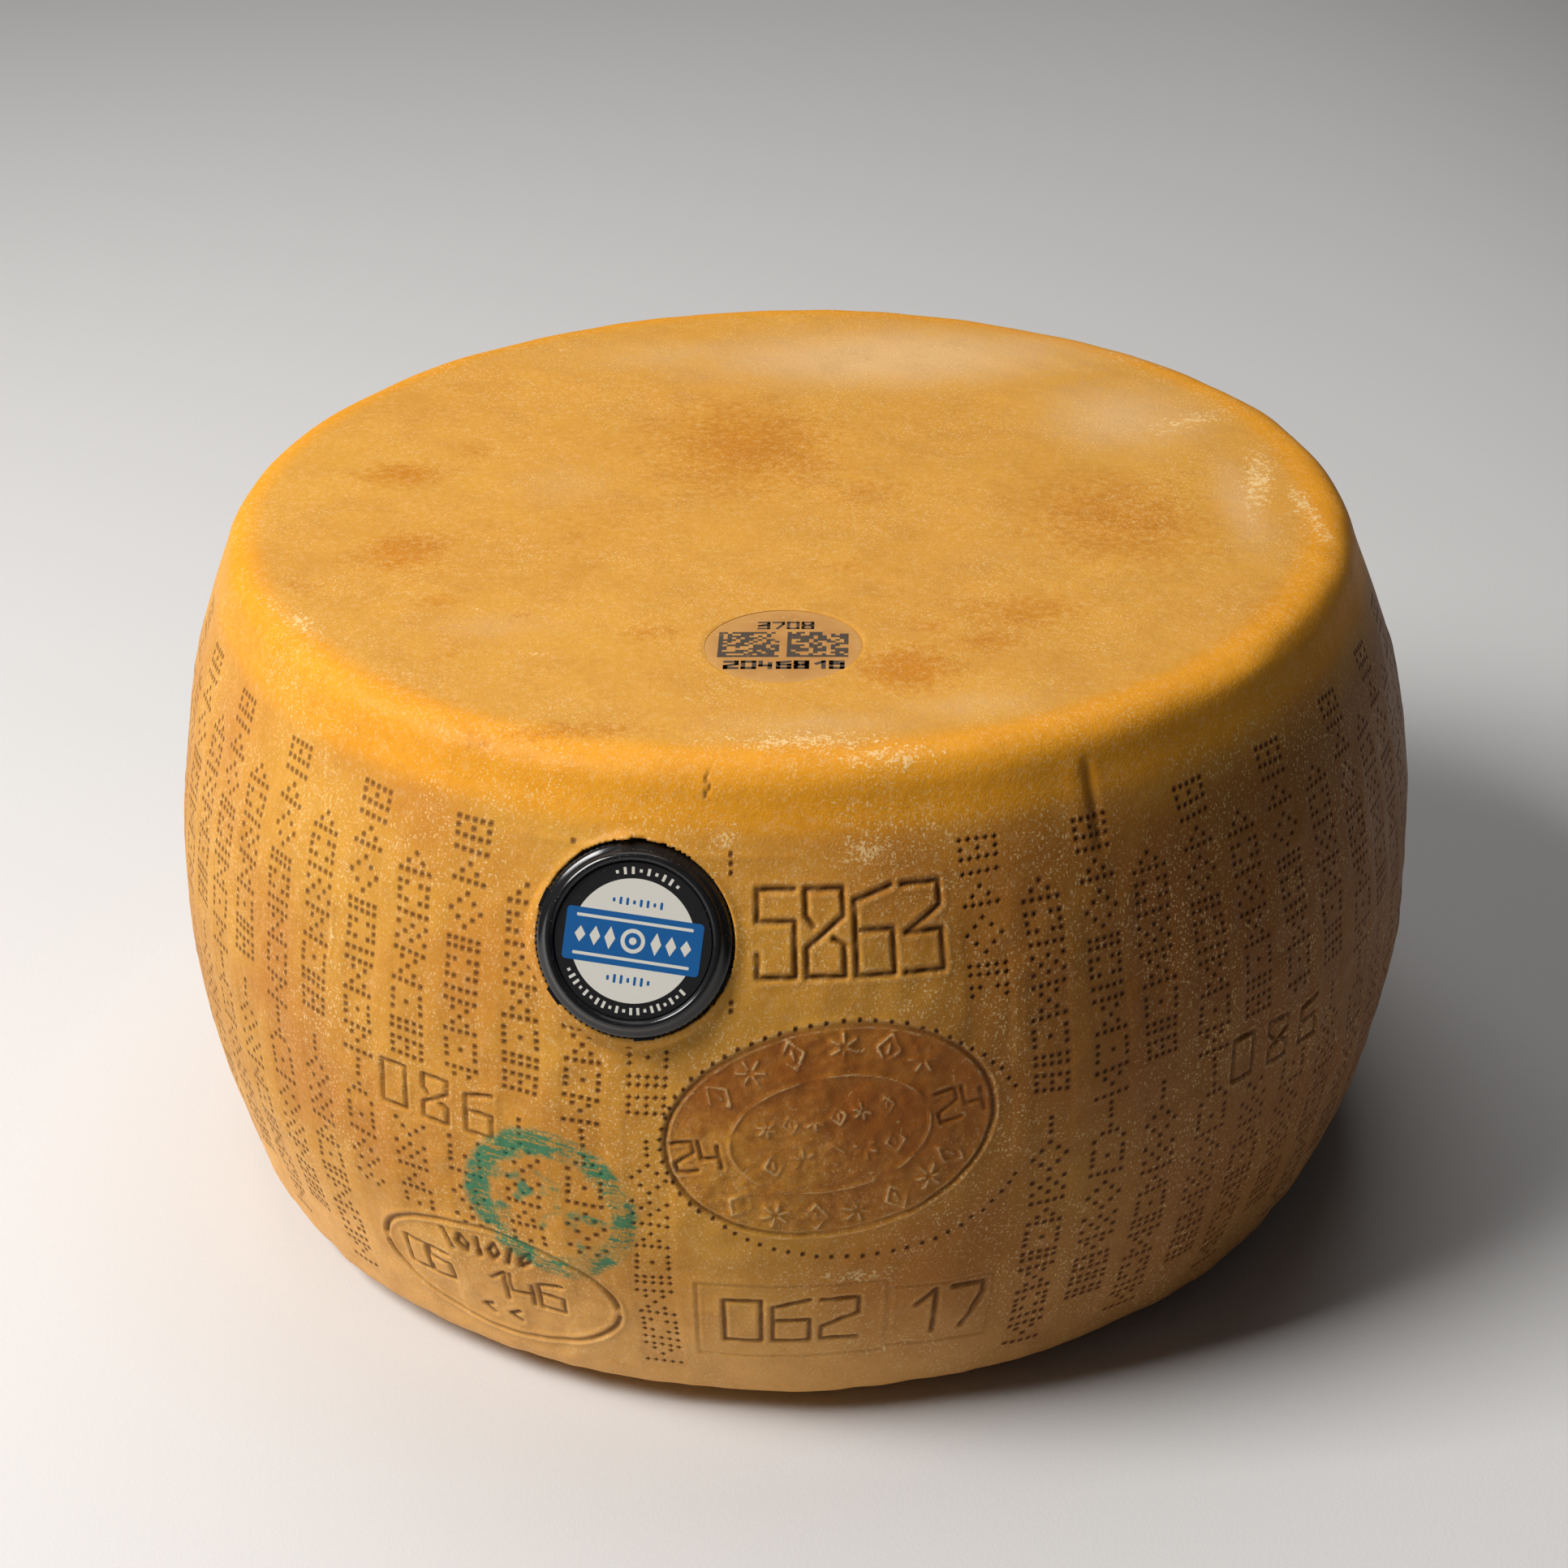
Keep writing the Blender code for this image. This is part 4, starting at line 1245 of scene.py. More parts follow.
def grid_map(rows, lines, quads, fans):
    """The corners' places in a closed grid's own map: the grid, and a narrow strip for each fan."""
    margin, grid_right, fan_left, fan_pitch, fan_width = 0.004, 0.962, 0.968, 0.008, 0.006
    across, upward = np.linspace(margin, grid_right, lines), np.linspace(margin, 1 - margin, rows)
    across, upward = np.meshgrid(across, upward)
    corners = [np.stack([across.ravel(), upward.ravel()], axis=-1)[quads.ravel()]]
    for number, fan in enumerate(fans):
        edge = np.full(len(fan), fan_left + fan_pitch * number)
        span = np.linspace(margin, 1 - margin, len(fan) + 1)
        low, high = span[:-1], span[1:]
        triangles = np.stack([edge, low, edge, high, edge + fan_width, (low + high) / 2], axis=-1)
        corners.append(triangles.reshape(-1, 2))
    return np.concatenate(corners)


def closed_grid_mesh(name, points, inner_point):
    """A grid of points seen from outside, closed by fans from its edges to one point inside."""
    rows, lines = points.shape[:2]
    index = np.arange(rows * lines).reshape(rows, lines)
    middle = rows * lines
    vertices = np.concatenate([points.reshape(-1, 3), np.asarray(inner_point, float)[None]])
    quads = np.stack([index[:-1, :-1], index[:-1, 1:], index[1:, 1:], index[1:, :-1]], axis=-1).reshape(-1, 4)
    strips = (
        (index[0, 1:], index[0, :-1]),
        (index[1:, -1], index[:-1, -1]),
        (index[-1, :-1], index[-1, 1:]),
        (index[:-1, 0], index[1:, 0]),
    )
    fans = [np.stack([first, second, np.full(len(first), middle)], axis=-1) for first, second in strips]
    mesh = bpy.data.meshes.new(name)
    mesh.from_pydata(vertices, [], quads.tolist() + np.concatenate(fans).tolist())
    layer = mesh.uv_layers.new(name="OFBake")
    layer.uv.foreach_set("vector", grid_map(rows, lines, quads, fans).astype(np.float32).ravel())
    border = np.zeros(len(vertices), dtype=bool)
    for strip in (index[0], index[-1], index[:, 0], index[:, -1]):
        border[strip] = True
    ends = np.zeros(len(mesh.edges) * 2, dtype=np.int32)
    mesh.edges.foreach_get("vertices", ends)
    mesh.shade_smooth()
    sharp = mesh.attributes.new("sharp_edge", "BOOLEAN", "EDGE")
    sharp.data.foreach_set("value", border[ends.reshape(-1, 2)].all(axis=1))
    return mesh


def lathe_mesh(name, profile, steps, sharp_angle=40.0):
    """A profile of radius and height, from its top to its bottom, turned round Z."""
    shell = bmesh.new()
    rings = []
    for radius, height in profile:
        if radius <= 0:
            rings.append([shell.verts.new((0.0, 0.0, height))] * steps)
            continue
        angles = [math.tau * step / steps for step in range(steps)]
        rings.append([shell.verts.new((radius * math.cos(a), radius * math.sin(a), height)) for a in angles])
    for upper, lower in zip(rings, rings[1:]):
        for step in range(steps):
            after = (step + 1) % steps
            corners = [upper[step], lower[step], lower[after], upper[after]]
            shell.faces.new(list(dict.fromkeys(corners)))
    bmesh.ops.recalc_face_normals(shell, faces=shell.faces)
    mesh = bpy.data.meshes.new(name)
    shell.to_mesh(mesh)
    shell.free()
    mesh.shade_smooth()
    mesh.set_sharp_from_angle(angle=math.radians(sharp_angle))
    return mesh


# The rind


def column_list():
    """Every column of dots round the wheel from the one left of the oval: its reach and its kind."""
    reaches = [LEFT_COLUMNS[-1], *RIGHT_COLUMNS]
    last_left = LEFT_COLUMNS[0] + BELLY_ROUND
    step = (last_left - RIGHT_COLUMNS[-1]) / (BACK_COLUMNS + 1)
    reaches += [RIGHT_COLUMNS[-1] + step * (count + 1) for count in range(BACK_COLUMNS)]
    reaches += [reach + BELLY_ROUND for reach in LEFT_COLUMNS[:-1]]
    return [(reach, "high" if order % 2 else "low") for order, reach in enumerate(reaches)]


def lean(reach, height):
    """How far a column wanders from upright towards its foot, most of all far to the left."""
    least, more = 0.0010, 0.0026
    side = wrapped(reach)
    strength = (least + more * smooth_step(-0.14, -0.21, side)) * (side < 0)
    return strength * smooth_step(0.115, 0.025, height)


def rind_lines(radius, height, pitch):
    """The reach of every upright mesh line at every row, each column's middle line, and the pieces' seams."""
    spread = BELLY_RADIUS / np.maximum(radius, 0.188)
    half = LINES_PER_DOT * (DOTS_ACROSS // 2) + LINES_PER_DOT // 2
    offsets = np.arange(-half, half + 1) * pitch / LINES_PER_DOT
    columns = column_list()
    first_back = 1 + len(RIGHT_COLUMNS)
    lines, middles, seams = [], [], []
    for order, (reach, _) in enumerate(columns + [(columns[0][0] + BELLY_ROUND, "low")]):
        own = [reach + lean(reach, height) + offset * spread for offset in offsets]
        if lines:
            fine = order <= first_back or order >= first_back + BACK_COLUMNS
            count = FRONT_LINES if order == 1 else FINE_GAP_LINES if fine else BACK_GAP_LINES
            previous = lines[-1]
            seams.append(len(lines) + count // 2)
            for step in range(1, count + 1):
                lines.append(previous + (own[0] - previous) * step / (count + 1))
        if order < len(columns):
            middles.append(len(lines) + half)
            lines += own
    return np.array(lines), middles, seams


def ornament_rows(kind):
    """Which dots each row of a column holds, by its row number above the first."""
    rows = {}
    halves = ((COLUMN_TOPS[kind], UPPER_HALF_FOOT), (LOWER_HALF_TOP, COLUMN_FEET[kind]))
    for half, (top, foot) in enumerate(halves):
        at = round((top - FIRST_ROW_HEIGHT) / ROW_STEP)
        last = round((foot - FIRST_ROW_HEIGHT) / ROW_STEP)
        for name in ORNAMENT_ORDER[kind][half]:
            shape = ORNAMENTS[name]
            if at - ROWS_PER_DOT * (len(shape) - 1) < last:
                shape = ORNAMENTS["double_bar"] if at - ROWS_PER_DOT >= last else ORNAMENTS["bar"]
            if at < last:
                break
            for line in shape:
                rows[at] = line
                at -= ROWS_PER_DOT
            at -= GROUP_GAP_ROWS - ROWS_PER_DOT
    for height in DASH_HEIGHTS:
        rows[round((height - FIRST_ROW_HEIGHT) / ROW_STEP)] = "..#.."
    return rows


def dot_is_clear(reach, height):
    """Whether a column's dot may stand there, clear of the other marks."""
    return not any(left < reach < right and low < height < high for left, right, low, high in BARE_BOXES)


def dotted_oval_points():
    """Places of the single dots that ring the large oval."""
    gap_from, gap_low, gap_high = DOTTED_OVAL_GAP
    wide, tall = DOTTED_OVAL_HALF
    tries, widening = 20, 1.012
    points = []
    for step in range(DOTTED_OVAL_COUNT):
        angle = math.tau * step / DOTTED_OVAL_COUNT
        x, y = turned(wide * math.cos(angle), tall * math.sin(angle), DOTTED_OVAL_TILT)
        for _ in range(tries):
            reach, height = DOTTED_OVAL_PLACE[0] + x, DOTTED_OVAL_PLACE[1] + y
            away, _ = oval_distance(np.array(reach), np.array(height), OVAL_PLACE, OVAL_HALF, OVAL_TILT)
            if away > DOTTED_OVAL_CLEAR:
                break
            x, y = x * widening, y * widening
        if not (reach > gap_from and gap_low < height < gap_high):
            points.append((reach, height))
    return points


def press_badge_seat(points):
    """Sinks the rind under the cap badge and squeezes it up close round it, most of all above the badge."""
    collar_height, collar_slope = 0.0016, 1.2
    squeeze_height, more_above = 0.0007, 1.6
    across, up, axis, origin = badge_axes()
    local = points - origin
    right, upward, out = local @ across, local @ up, local @ axis
    away = np.hypot(right, upward)
    front = out > -0.03
    seat = BADGE_RADIUS + SEAT_GAP
    snap = front & (np.abs(away - seat) < 0.0003)
    scale = np.where(snap, seat / np.maximum(away, 1e-6), 1.0)
    right, upward = right * scale, upward * scale
    sunk = front & (away < seat - 0.0002)
    out = np.where(sunk, np.minimum(out, -SEAT_GAP), out)
    beyond = np.maximum(away - seat, 0.0)
    angle = np.arctan2(right, upward)
    collar = collar_height * hump(beyond, 0.0035) - collar_slope * np.maximum(beyond - 0.002, 0.0)
    round_badge = front & ~sunk & (beyond < COLLAR_REACH)
    out = np.where(round_badge & (out < collar), collar, out)
    squeezed = squeeze_height * hump(beyond, 0.0016) * (1 + more_above * hump(angle + 0.12, 0.14))
    out = np.where(round_badge, out + squeezed * smooth_step(COLLAR_REACH, COLLAR_REACH / 2, beyond), out)
    return origin + right[..., None] * across + upward[..., None] * up + out[..., None] * axis, away


def top_relief(x, y):
    """How far the flat top rises and falls, in metres."""
    broad_depth, fine_depth = 0.00022, 0.00007
    broad, fine = smooth_waves(31, x, y, 0.05, 0.20), smooth_waves(32, x, y, 0.014, 0.040)
    return broad_depth * broad + fine_depth * fine


def column_bands(warped, raised, radius, columns, field):
    """How far each point lies in the shallow upright bands that the columns of dots were pressed with."""
    bands = np.zeros(warped.shape)
    for middle, kind in columns:
        top, foot = COLUMN_TOPS[kind], COLUMN_FEET[kind]
        away = np.abs(warped - warped[:, middle : middle + 1]) * radius[:, None] / BELLY_RADIUS
        tall = smooth_step(foot - 0.006, foot - 0.001, raised) * smooth_step(top + 0.006, top + 0.001, raised)
        bands = np.maximum(bands, smooth_step(BAND_HALF[1], BAND_HALF[0], away) * tall)
    return bands * ((1 - field) * smooth_step(BAND_FADE[1], BAND_FADE[0], raised))


def column_pins(columns, first_pin, here, raised, clear):
    """Row and line of every dot in the columns."""
    pins = []
    for middle, kind in columns:
        for row, dots in ornament_rows(kind).items():
            for dot, mark in enumerate(dots):
                at, line = first_pin + row, middle + (dot - DOTS_ACROSS // 2) * LINES_PER_DOT
                if mark == "#" and clear[at, line] and dot_is_clear(here[at, line], raised[at, line]):
                    pins.append((at, line))
    return pins


def front_pins(pitch, here, raised, clear):
    """Row and line of the dots that ring the large oval, and of the column that the badge half hides."""
    spots = dotted_oval_points()
    for row, dots in ornament_rows("high").items():
        height = FIRST_ROW_HEIGHT + row * ROW_STEP
        for dot, mark in enumerate(dots):
            reach = HIDDEN_COLUMN + (dot - DOTS_ACROSS // 2) * pitch
            if mark == "#" and reach > HIDDEN_COLUMN_FROM and height > HIDDEN_COLUMN_FOOT:
                spots.append((reach, height))
    pins = []
    for x, y in spots:
        at, line = np.unravel_index(np.argmin((here - x) ** 2 + (raised - y) ** 2), here.shape)
        if clear[at, line]:
            pins.append((at, line))
    return pins


def rind_sector(name, lines, rows, pitch, columns):
    """One upright piece of the rind from the base to the top seam, and the points of its pressed dots."""
    reach_wander, height_wander = 0.00030, 0.00026
    inner_radius, inner_height = 0.085, 0.115
    radius, height, normal, along, first_pin = rows
    reach = lines.T
    level = height[:, None] + 0 * reach
    on_side = smooth_step(0.016, 0.024, level) * smooth_step(0.2190, 0.2130, level)
    warped = reach + reach_wander * smooth_waves(21, reach, level, 0.02, 0.06) * on_side
    raised = level + height_wander * smooth_waves(22, reach, level, 0.02, 0.06) * on_side
    shift = np.where(on_side > 0, side_radius(raised) - side_radius(level), 0.0)
    here = wrapped(np.mean(warped)) - np.mean(warped) + warped
    relief, dark, pale, field = side_relief(here, raised)
    bands = column_bands(warped, raised, radius, columns, field)
    side = smooth_step(WHEEL_HEIGHT, 0.2290, level)
    foot = smooth_step(0.0003, 0.0060, level)
    azimuth = warped / BELLY_RADIUS
    flat = settle(azimuth, radius[:, None] + 0 * warped, level)
    out = side * foot * (relief - BAND_DEPTH * bands) + (1 - side) * top_relief(flat[..., 0], flat[..., 1])
    points = settle(azimuth, radius[:, None] + shift + normal[:, 0:1] * out, raised + normal[:, 1:2] * out)
    clear = np.ones(reach.shape, dtype=bool)
    if name in ("rind_front", "rind_left"):
        points, away = press_badge_seat(points)
        clear = away > BADGE_RADIUS + BADGE_CLEARANCE
    inner_azimuth = float(np.mean(warped)) / BELLY_RADIUS
    inner = settle(np.array(inner_azimuth), np.array(inner_radius), np.array(inner_height))
    mesh = closed_grid_mesh(name, points, inner)
    pins = column_pins(columns, first_pin, here, raised, clear)
    if name == "rind_front":
        pins += front_pins(pitch, here, raised, clear)

    near_top = smooth_step(0.2200, 0.2300, points[..., 2])
    x, y = points[..., 0], points[..., 1]
    rim_flakes, side_flakes = blotches(RIM_FLAKES, x, y), blotches(SIDE_FLAKES, here, raised)
    painted = {
        "mark_dark": dark * side,
        "band": bands,
        "mark_pale": pale * side,
        "oval_field": field,
        "stain": near_top * blotches(STAINS, x, y),
        "patch": near_top * blotches(PALE_PATCHES, x, y),
        "flake": np.maximum(near_top * rim_flakes, (1 - near_top) * side_flakes),
    }
    for key, values in painted.items():
        set_attribute(mesh, key, [*values.ravel(), 0.0])
    skin_up = np.where(on_side > 0, raised, along[:, None] - along[first_pin] + FIRST_ROW_HEIGHT)
    skin = np.stack([here, skin_up, 0 * here], axis=-1).reshape(-1, 3)
    set_attribute(mesh, "skin", np.concatenate([skin, [[0.0, 0.0, 0.0]]]), "FLOAT_VECTOR")
    return mesh, points[tuple(np.array(pins).T)]


def sector_list(rows, pitch):
    """Every sector's name, its mesh lines, and the middle line and kind of each of its columns."""
    lines, middles, seams = rind_lines(rows[0], rows[1], pitch)
    columns = column_list()
    count, total = len(columns), len(lines)
    cuts = [2, 1 + len(RIGHT_COLUMNS)]
    for size in BACK_SECTORS:
        cuts.append(cuts[-1] + size)
    cuts.append(count)
    names = ["rind_right", *(f"rind_back_{number + 1}" for number in range(len(BACK_SECTORS))), "rind_left"]
    low, high = seams[count - 1], seams[1]
    front = np.concatenate([lines[low:] - BELLY_ROUND, lines[: high + 1]])
    sectors = [("rind_front", front, [(middles[order] + total - low, columns[order][1]) for order in (0, 1)])]
    for name, start, end in zip(names, cuts, cuts[1:]):
        low, high = seams[start - 1], seams[end - 1]
        marks = [(middles[order] - low, columns[order][1]) for order in range(start, end)]
        sectors.append((name, lines[low : high + 1], marks))
    return sectors


def build_rind_side(looks):
    rows = rind_profile()
    material = finish_named("rind_finish", rind_finish, looks)
    for name, lines, columns in sector_list(rows, looks.dot_pitch):
        mesh, spots = rind_sector(name, lines, rows, looks.dot_pitch, columns)
        mesh.materials.append(material)
        piece = new_object(name, mesh)
        pins_mesh = bpy.data.meshes.new("pins")
        pins_mesh.from_pydata(spots, [], [])
        pins = new_object("pins", pins_mesh)
        values = {
            "Pins": pins,
            "Pit radius": looks.dot_radius,
            "Pit depth": looks.dot_depth,
            "Pull": FINE_PULL if name == "rind_front" else COARSE_PULL,
            "Unevenness": DOT_UNEVENNESS,
            "Material": material,
        }
        apply_nodes(piece, pressed_pins_group(), values)
        bpy.data.objects.remove(pins)
        bpy.data.meshes.remove(pins_mesh)
        finish_piece(piece, "rind", "wheel")


def build_rind_top(looks):
    """The flat top from the casein plate's bed out to the seam with the sides, closed underneath."""
    middle = np.array(PLATE_PLACE)
    angle = np.linspace(0, math.tau, TOP_STEPS, endpoint=False)
    bed_half = np.array(PLATE_HALF) + BED_GAP
    bed = middle + bed_half * np.stack([np.cos(angle), np.sin(angle)], axis=-1)
    seam_radius, seam_height = np.full(TOP_STEPS, TOP_SEAM_RADIUS), np.full(TOP_STEPS, WHEEL_HEIGHT)
    edge = settle(angle + math.pi / 2, seam_radius, seam_height)[:, :2]
    floor = WHEEL_HEIGHT - PLATE_DROP - PLATE_THICKNESS - 0.0003
    swell, crease = 0.00010, 0.00024
    rings = [(bed * 0.999 + middle * 0.001, floor)]
    rings += [(bed, WHEEL_HEIGHT - down) for down in (0.0009, 0.00035)]
    for step in range(TOP_RINGS + 1):
        flat = bed + (edge - bed) * (step / TOP_RINGS) ** TOP_RING_SPACING
        near = np.hypot(*((flat - middle).T)) - PLATE_HALF[0]
        rise = WHEEL_HEIGHT + top_relief(flat[:, 0], flat[:, 1]) * smooth_step(0.0, BED_REACH, near)
        rings.append((flat, rise + (swell * hump(near, 0.0040) - crease * hump(near, 0.0010))))
    depth = 0.0300
    rings += [(edge * 1.0006, WHEEL_HEIGHT - 0.0010), (edge * 0.90, WHEEL_HEIGHT - depth)]
    points = [np.column_stack([flat, np.broadcast_to(level, (TOP_STEPS,))]) for flat, level in rings]
    vertices = np.concatenate([*points, [[*PLATE_PLACE, floor]], [[0.0, -0.02, WHEEL_HEIGHT - depth]]])
    index = np.arange(len(rings) * TOP_STEPS).reshape(len(rings), TOP_STEPS)
    after = np.roll(index, -1, axis=1)
    quads = np.stack([index[:-1], index[1:], after[1:], after[:-1]], axis=-1).reshape(-1, 4)
    bed_middle, under_middle = (np.full(TOP_STEPS, index.size + number) for number in (0, 1))
    inner = np.stack([bed_middle, index[0], after[0]], axis=-1)
    outer = np.stack([under_middle, after[-1], index[-1]], axis=-1)
    mesh = bpy.data.meshes.new("rind_top")
    mesh.from_pydata(vertices, [], quads.tolist() + inner.tolist() + outer.tolist())
    mesh.shade_smooth()
    mesh.set_sharp_from_angle(angle=math.radians(35))
    x, y = vertices[:, 0], vertices[:, 1]
    blank = np.zeros(len(vertices))
    for name in ("mark_dark", "mark_pale", "oval_field", "pit", "band"):
        set_attribute(mesh, name, blank)
    for name, marks in (("stain", STAINS), ("patch", PALE_PATCHES), ("flake", RIM_FLAKES)):
        set_attribute(mesh, name, blotches(marks, x, y))
    set_attribute(mesh, "skin", np.stack([x + 2.0, y, blank], axis=-1), "FLOAT_VECTOR")
    mesh.materials.append(finish_named("rind_finish", rind_finish, looks))
    finish_piece(new_object("rind_top", mesh), "rind", "wheel")


def build_rind_base(looks):
    """The flat base that the wheel stands on, closed above."""
    rings = [(0.0, 0.012), (0.120, 0.010), (BASE_FLAT_RADIUS * 0.999, 0.0006)]
    rings += [(BASE_FLAT_RADIUS * share, 0.0) for share in (1.0, 0.92, 0.8, 0.66, 0.5, 0.34, 0.18, 0.0)]
    mesh = lathe_mesh("rind_base", rings, 180)
    count = len(mesh.vertices)
    for name in ("mark_dark", "mark_pale", "oval_field", "pit", "band", "stain", "patch", "flake"):
        set_attribute(mesh, name, np.zeros(count))
    set_attribute(mesh, "skin", vertex_places(mesh) + np.array([4.0, 0.0, 0.0]), "FLOAT_VECTOR")
    mesh.materials.append(finish_named("rind_finish", rind_finish, looks))
    finish_piece(new_object("rind_base", mesh), "rind", "wheel")


# The cap badge, its label and the casein plate


def build_cap_badge(looks):
    """The cap: a flat field inside a raised ring, a sloping shoulder, and a skirt with ribs and lugs."""
    field = BADGE_DEPTH - LABEL_DROP - LABEL_THICKNESS
    skirt = BADGE_RADIUS - 0.00035
    inner = RING_RADIUS - RING_WIDTH
    ring = (
        (0.0004, 0.0005),
        (0.0009, 0.0001),
        (0.0015, 0.0),
        (0.0021, 0.0002),
        (0.0026, 0.0007),
        (0.0030, 0.0014),
        (0.0036, 0.0020),
    )
    shoulder = ((0.0011, 0.0025), (0.0004, 0.0030), (0.0001, 0.0038))
    foot = ((0.0001, 0.0008), (0.0006, 0.0001), (0.0012, 0.0))
    profile = [(0.0, field), (inner * 0.5, field), (inner - 0.0002, field), (inner, field + 0.0002)]
    profile += [(inner + out, BADGE_DEPTH - down) for out, down in ring]
    profile += [(skirt - back, BADGE_DEPTH - down) for back, down in shoulder]
    profile += [(skirt - back, level) for back, level in foot]
    profile += [(skirt * 0.6, 0.0), (0.0, 0.0)]
    mesh = lathe_mesh("cap_badge_shell", profile, 180, 50.0)
    material = finish_named("cap_finish", cap_finish, looks.cap_colour)
    mesh.materials.append(material)
    cap = new_object("cap_badge_shell", mesh)
    values = {
        "Rib count": looks.rib_count,
        "Rib radius": looks.rib_radius,
        "Rib length": 0.0056,
        "Rib height": 0.0034,
        "Skirt radius": skirt - 0.00025,
        "Lug count": LUG_COUNT,
        "Lug size": (LUG_SIZE[1] * 1.3, LUG_SIZE[0], LUG_SIZE[2]),
        "Lug height": BADGE_DEPTH - 0.0052,
        "Lug turn": math.radians(90 + LUG_FIRST),
        "Material": material,
    }
    apply_nodes(cap, skirt_ribs_group(), values)
    cap.data.set_sharp_from_angle(angle=math.radians(50))
    cap.data.transform(badge_matrix())
    finish_piece(cap, "badge_plastic", "cap_badge")


def add_slab(shell, outline, low, high, material_index):
    """A thin closed plate with the given outline, standing between two levels."""
    top = [shell.verts.new((x, y, high)) for x, y in outline]
    bottom = [shell.verts.new((x, y, low)) for x, y in outline]
    faces = [shell.faces.new(top), shell.faces.new(bottom[::-1])]
    for order in range(len(outline)):
        after = (order + 1) % len(outline)
        faces.append(shell.faces.new((bottom[order], bottom[after], top[after], top[order])))
    for face in faces:
        face.material_index = material_index


def mesh_from(shell, name, sharp_angle=None):
    """The finished mesh of a shell whose faces all point outwards."""
    bmesh.ops.recalc_face_normals(shell, faces=shell.faces)
    mesh = bpy.data.meshes.new(name)
    shell.to_mesh(mesh)
    shell.free()
    if sharp_angle:
        mesh.shade_smooth()
        mesh.set_sharp_from_angle(angle=math.radians(sharp_angle))
    return mesh


def round_outline(half_wide, half_tall, corner, steps=6):
    """A box with rounded corners, drawn anticlockwise."""
    points = []
    for number, (x, y) in enumerate(((1, 1), (-1, 1), (-1, -1), (1, -1))):
        for step in range(steps + 1):
            angle = math.pi / 2 * (number + step / steps)
            right, up = x * (half_wide - corner), y * (half_tall - corner)
            points.append((right + corner * math.cos(angle), up + corner * math.sin(angle)))
    return points


def disc_outline(radius, steps):
    turns = [math.tau * step / steps for step in range(steps)]
    return [(radius * math.cos(turn), radius * math.sin(turn)) for turn in turns]


def label_shapes():
    """The blue band and what is printed with it: outline, middle, top layer, and ink 1 cream or 2 blue."""
    shapes = [(round_outline(0.0202, 0.0078, 0.0012), 0, 0, 2, 2)]
    for y in (0.0056, -0.0056):
        shapes.append((round_outline(0.0172, 0.00045, 0.0003, 3), 0, y, 3, 1))
    for radius, steps, layer, ink in ((0.0036, 32, 3, 1), (0.0024, 32, 4, 2), (0.0011, 20, 5, 1)):
        shapes.append((disc_outline(radius, steps), 0, 0, layer, ink))
    for side in (-1, 1):
        for order in range(3):
            tall = 0.0034 - 0.0005 * order
            lozenge = [(0.0016, 0), (0, tall), (-0.0016, 0), (0, -tall)]
            shapes.append((lozenge, side * (0.0068 + 0.0044 * order), 0, 3, 1))
    for y, count, size in ((0.0113, 8, 0.0011), (-0.0116, 7, 0.0013)):
        for order in range(count):
            dash = round_outline(0.00038, size * (1.0 if order % 3 else 0.55), 0.0003, 2)
            shapes.append((dash, (order - (count - 1) / 2) * 0.0020, y, 2, 2))
    return shapes


def build_badge_label(looks):
    """A printed disc: black ring, cream middle and a blue band with plain white shapes."""
    lift = BADGE_DEPTH - LABEL_DROP - LABEL_THICKNESS + 0.00012
    layer = 0.00004
    top = lift + LABEL_THICKNESS - 0.00012
    spin = looks.label_turn
    shell = bmesh.new()
    add_slab(shell, disc_outline(LABEL_RADIUS, 96), lift, top, 0)
    add_slab(shell, disc_outline(looks.cream_radius, 96), top - layer, top + layer, 1)
    for order, (outline, x, y, layers, ink) in enumerate(label_shapes()):
        low = top - layer if order == 0 else top
        moved = [turned(px + x, py + y, math.degrees(spin)) for px, py in outline]
        add_slab(shell, moved, low, top + layers * layer, ink)
    mesh = mesh_from(shell, "badge_label_disc", 30)
    cream = finish_named("label_cream", print_finish, looks.cream_colour)
    mesh.materials.append(finish_named("label_black", print_finish, looks.cap_colour, 0.28))
    mesh.materials.append(cream)
    mesh.materials.append(finish_named("label_blue", print_finish, looks.blue_colour))
    mesh.transform(badge_matrix())
    finish_piece(new_object("badge_label_disc", mesh), "badge_print", "badge_label")
    for name, count, first, sweep in (("upper", 9, 58, 52), ("lower", 20, 212, 110)):
        marks = new_object(f"badge_marks_{name}", bpy.data.meshes.new(f"badge_marks_{name}"))
        values = {
            "Count": count,
            "Ring radius": (LABEL_RADIUS + looks.cream_radius) / 2,
            "First angle": math.radians(first) + spin,
            "Sweep angle": math.radians(sweep),
            "Mark size": (0.00085, 0.0021, 2 * layer),
            "Lift": top,
            "Material": cream,
        }
        apply_nodes(marks, ring_marks_group(), values)
        marks.data.transform(badge_matrix())
        finish_piece(marks, "badge_print", "badge_label")


def stroke_outline(start, end, half_width):
    """A bar between two points with square ends that reach a little past them."""
    along = np.array(end, float) - np.array(start, float)
    along /= max(np.linalg.norm(along), 1e-9)
    aside = np.array([-along[1], along[0]]) * half_width
    first, last = np.array(start) - along * half_width, np.array(end) + along * half_width
    return [tuple(point) for point in (first - aside, last - aside, last + aside, first + aside)]


